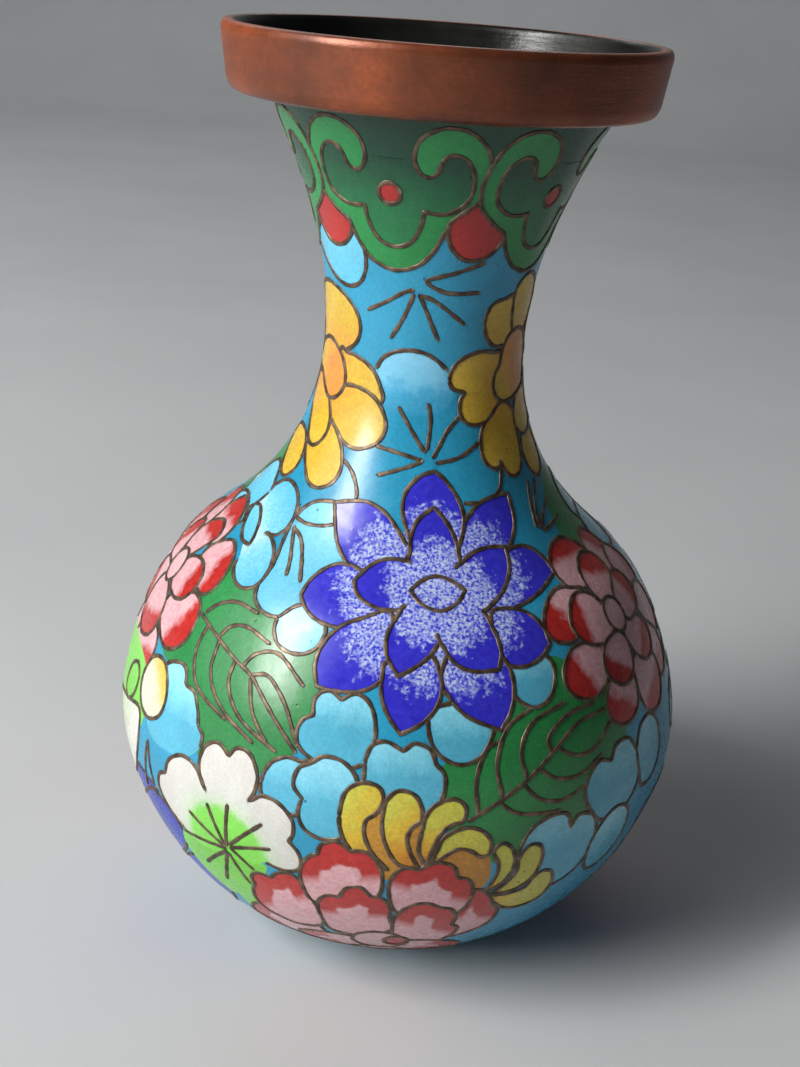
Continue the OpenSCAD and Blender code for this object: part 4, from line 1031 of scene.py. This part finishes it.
def enamel_piece(node):
    """All the cells of one node as one mesh, just under the skin and deepest away from the wires."""
    verts, faces, mat_index, t_all, o_all, paints = [], [], [], [], [], []
    for i, c in enumerate(CELLS):
        if c["node"] != node or i not in by_cell:
            continue
        tri = np.array(by_cell[i])
        used, back = np.unique(tri, return_inverse=True)
        p = flat[used]
        t_all.append(along_cell(c, p))
        ground = node.endswith("ground_enamel")
        o_all.append(np.full(len(p), FAR_IN) if ground else from_outline(c, p))
        faces.append(back.reshape(tri.shape) + sum(len(v) for v in verts))
        verts.append(p)
        if c["paint"] not in paints:
            paints.append(c["paint"])
        mat_index += [paints.index(c["paint"])] * len(tri)
    if not verts:
        raise RuntimeError("no enamel left on " + node)
    p, f = np.vstack(verts), np.vstack(faces)
    e = np.array([tree.find(v)[2] for v in on_skin(p)]) / MM
    depth = 0.075 + 0.035 * np.clip((e - 0.2) / 0.8, 0, 1)
    shading = {"t": np.concatenate(t_all), "o": np.concatenate(o_all), "e": e}
    mats = [MATS[k] for k in paints]
    return new_object(node + "_glaze", on_skin(p, depth), f, mats, mat_index, skin_normals(p), shading)


def hand_over(piece, *nodes):
    """The piece rides on the body and takes the place of its CAD nodes."""
    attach(piece, "root")
    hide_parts(*nodes)


for node in dict.fromkeys(c["node"] for c in CELLS):
    hand_over(enamel_piece(node), node)

for node, lines in runs.items():
    v, f = wire_mesh(lines)
    hand_over(new_object(node + "_strip", v, f, [WIRE_METAL]), node)


def lathe(name, outline, mats, nodes, around=256, wobble=0.0, dark_from=None):
    """Turns an outline of (radius, height) in mm about the axis, with a slow handmade wobble."""
    outline = np.array(outline, float)
    a = 2 * np.pi * np.arange(around) / around
    verts, faces = [], []
    for r, z in outline:
        off = wobble * (np.sin(2 * a + 0.7) + 0.6 * np.sin(3 * a + 2.1) + 0.3 * np.sin(7 * a))
        verts.append(np.stack([(r + off) * np.sin(a), -(r + off) * np.cos(a), np.full(around, z)], 1) * MM)
    n, mat_index = len(outline), []
    for j in range(n):
        k = (j + 1) % n
        mat_index += [int(dark_from is not None and j >= dark_from)] * around
        for i in range(around):
            m = (i + 1) % around
            faces.append((j * around + i, j * around + m, k * around + m, k * around + i))
    hand_over(new_object(name, np.vstack(verts), faces, mats, mat_index), *nodes)


CORNER = (0.0, 0.25, 0.5, 0.75, 1.0)


def rounded(points, by):
    """An outline with each corner replaced by the points of a small round."""
    p = np.array(points, float)
    out = []
    for i, q in enumerate(p):
        a, b = p[i - 1] - q, p[(i + 1) % len(p)] - q
        la, lb = np.linalg.norm(a), np.linalg.norm(b)
        ka, kb = min(by, la * 0.4) / la, min(by, lb * 0.4) / lb
        s, e = q + a * ka, q + b * kb
        for t in CORNER:
            out.append((1 - t) ** 2 * s + 2 * t * (1 - t) * q + t * t * e)
    return out


rim_outline = [(14.8, 93.27), (20.8, 93.27), (21.6, 93.55), (22.0, 94.4), (22.7, 99.3), (22.45, 99.95),
               (21.5, 100.0), (21.15, 99.5), (20.7, 95.8), (19.9, 94.75), (16.1, 94.1), (14.8, 93.6)]
INNER_EDGE = 6 * len(CORNER) + 3  # near the end of the seventh corner, where the top turns inwards
lathe("mouth_band", rounded(rim_outline, 0.35), [COPPER, DARK_COPPER], ["mouth_rim_band"],
      wobble=0.02, dark_from=INNER_EDGE)
foot_outline = [(11.1, 0.2), (11.3, 0), (12.1, 0), (12.4, 0.3), (12.35, 1.92), (11.1, 1.92)]
lathe("foot_band", rounded(foot_outline, 0.12), [COPPER], ["foot_ring"])

for node, mat in (("inside_enamel", INSIDE), ("base_enamel", BASE), ("copper_body_wall", bare_copper())):
    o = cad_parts[node]
    for slot in o.material_slots:
        slot.material = mat

# ------------------------------------------------------------------- studio
floor_mesh = bpy.data.meshes.new("floor")
front, bend_at, bend, wall_top, half_width = -1.2, 0.75, 0.35, 1.6, 1.2 * 1.6
rows = [(front, 0.0)]
rows += [(bend_at + bend * math.sin(x), bend * (1 - math.cos(x))) for x in np.linspace(0, math.pi / 2, 14)]
rows += [(bend_at + bend, wall_top)]
grid = [(x, y, z) for y, z in rows for x in (-half_width, half_width)]
quads = [(2 * i, 2 * i + 1, 2 * i + 3, 2 * i + 2) for i in range(len(rows) - 1)]
floor_mesh.from_pydata(grid, [], quads)
floor_mesh.polygons.foreach_set("use_smooth", [True] * len(quads))
g = Graph("pale_floor")
tone = g.ramp(g.noise(14, 3), [(0.3, (190, 192, 193)), (0.7, (197, 198, 199))])
grain = g.bump(g.noise(900, 2), 0.05, 0.0003)
floor_mesh.materials.append(g.surface(grain, Base_Color=tone, Roughness=0.75))
floor = bpy.data.objects.new("floor", floor_mesh)
bpy.context.scene.collection.objects.link(floor)


MIDDLE = Vector((0, 0, 0.05))


def area_light(name, at, size, power, colour=(1, 1, 1), tall=(0, 0, 1)):
    """A rectangular lamp that faces the middle of the vase, its height laid along tall."""
    data = bpy.data.lights.new(name, "AREA")
    data.shape, data.size, data.size_y = "RECTANGLE", size[0], size[1]
    data.energy, data.color = power, colour
    lamp = bpy.data.objects.new(name, data)
    lamp.location = at
    back = (Vector(at) - MIDDLE).normalized()
    across = Vector(tall).cross(back).normalized()
    lamp.rotation_euler = Matrix((across, back.cross(across), back)).transposed().to_euler()
    bpy.context.scene.collection.objects.link(lamp)


area_light("window", MIDDLE + Vector((-0.72, -0.46, 0.52)) * 0.62, (0.15, 0.42), 4.6,
           (1.0, 0.985, 0.96), (0.145, 0.32, 0.49))
area_light("wide_window", MIDDLE + Vector((-0.80, -0.34, 0.50)) * 0.9, (0.9, 0.9), 4.3, (0.96, 0.98, 1.0))
area_light("back_window", (-0.25, 0.75, 0.65), (0.9, 0.35), 1.3, (0.95, 0.98, 1.0))

world = bpy.data.worlds.new("studio")
world.use_nodes = True
world.node_tree.nodes["Background"].inputs["Color"].default_value = (0.82, 0.90, 1.0, 1)
world.node_tree.nodes["Background"].inputs["Strength"].default_value = 0.05
bpy.context.scene.world = world

# The camera stands 158 mm before the axis and 108 mm up, looks 21.5 degrees down and is rolled a little.
PITCH, YAW, ROLL = math.radians(21.51), math.radians(-0.40), math.radians(4.21)
forward = Vector((math.sin(YAW) * math.cos(PITCH), math.cos(YAW) * math.cos(PITCH), -math.sin(PITCH)))
right = Vector((math.cos(YAW), -math.sin(YAW), 0))
down = forward.cross(right)
cam_right = math.cos(ROLL) * right - math.sin(ROLL) * down
cam_up = -(math.sin(ROLL) * right + math.cos(ROLL) * down)
camera = bpy.data.objects.new("camera", bpy.data.cameras.new("camera"))
camera.data.lens, camera.data.sensor_width = 50.6, 36.0
camera.data.clip_start, camera.data.clip_end = 0.01, 20
camera.matrix_world = Matrix((cam_right, cam_up, -forward)).transposed().to_4x4()
camera.location = (0, -0.1584, 0.1081)
bpy.context.scene.collection.objects.link(camera)
bpy.context.scene.camera = camera
bpy.context.scene.view_settings.view_transform = "Standard"
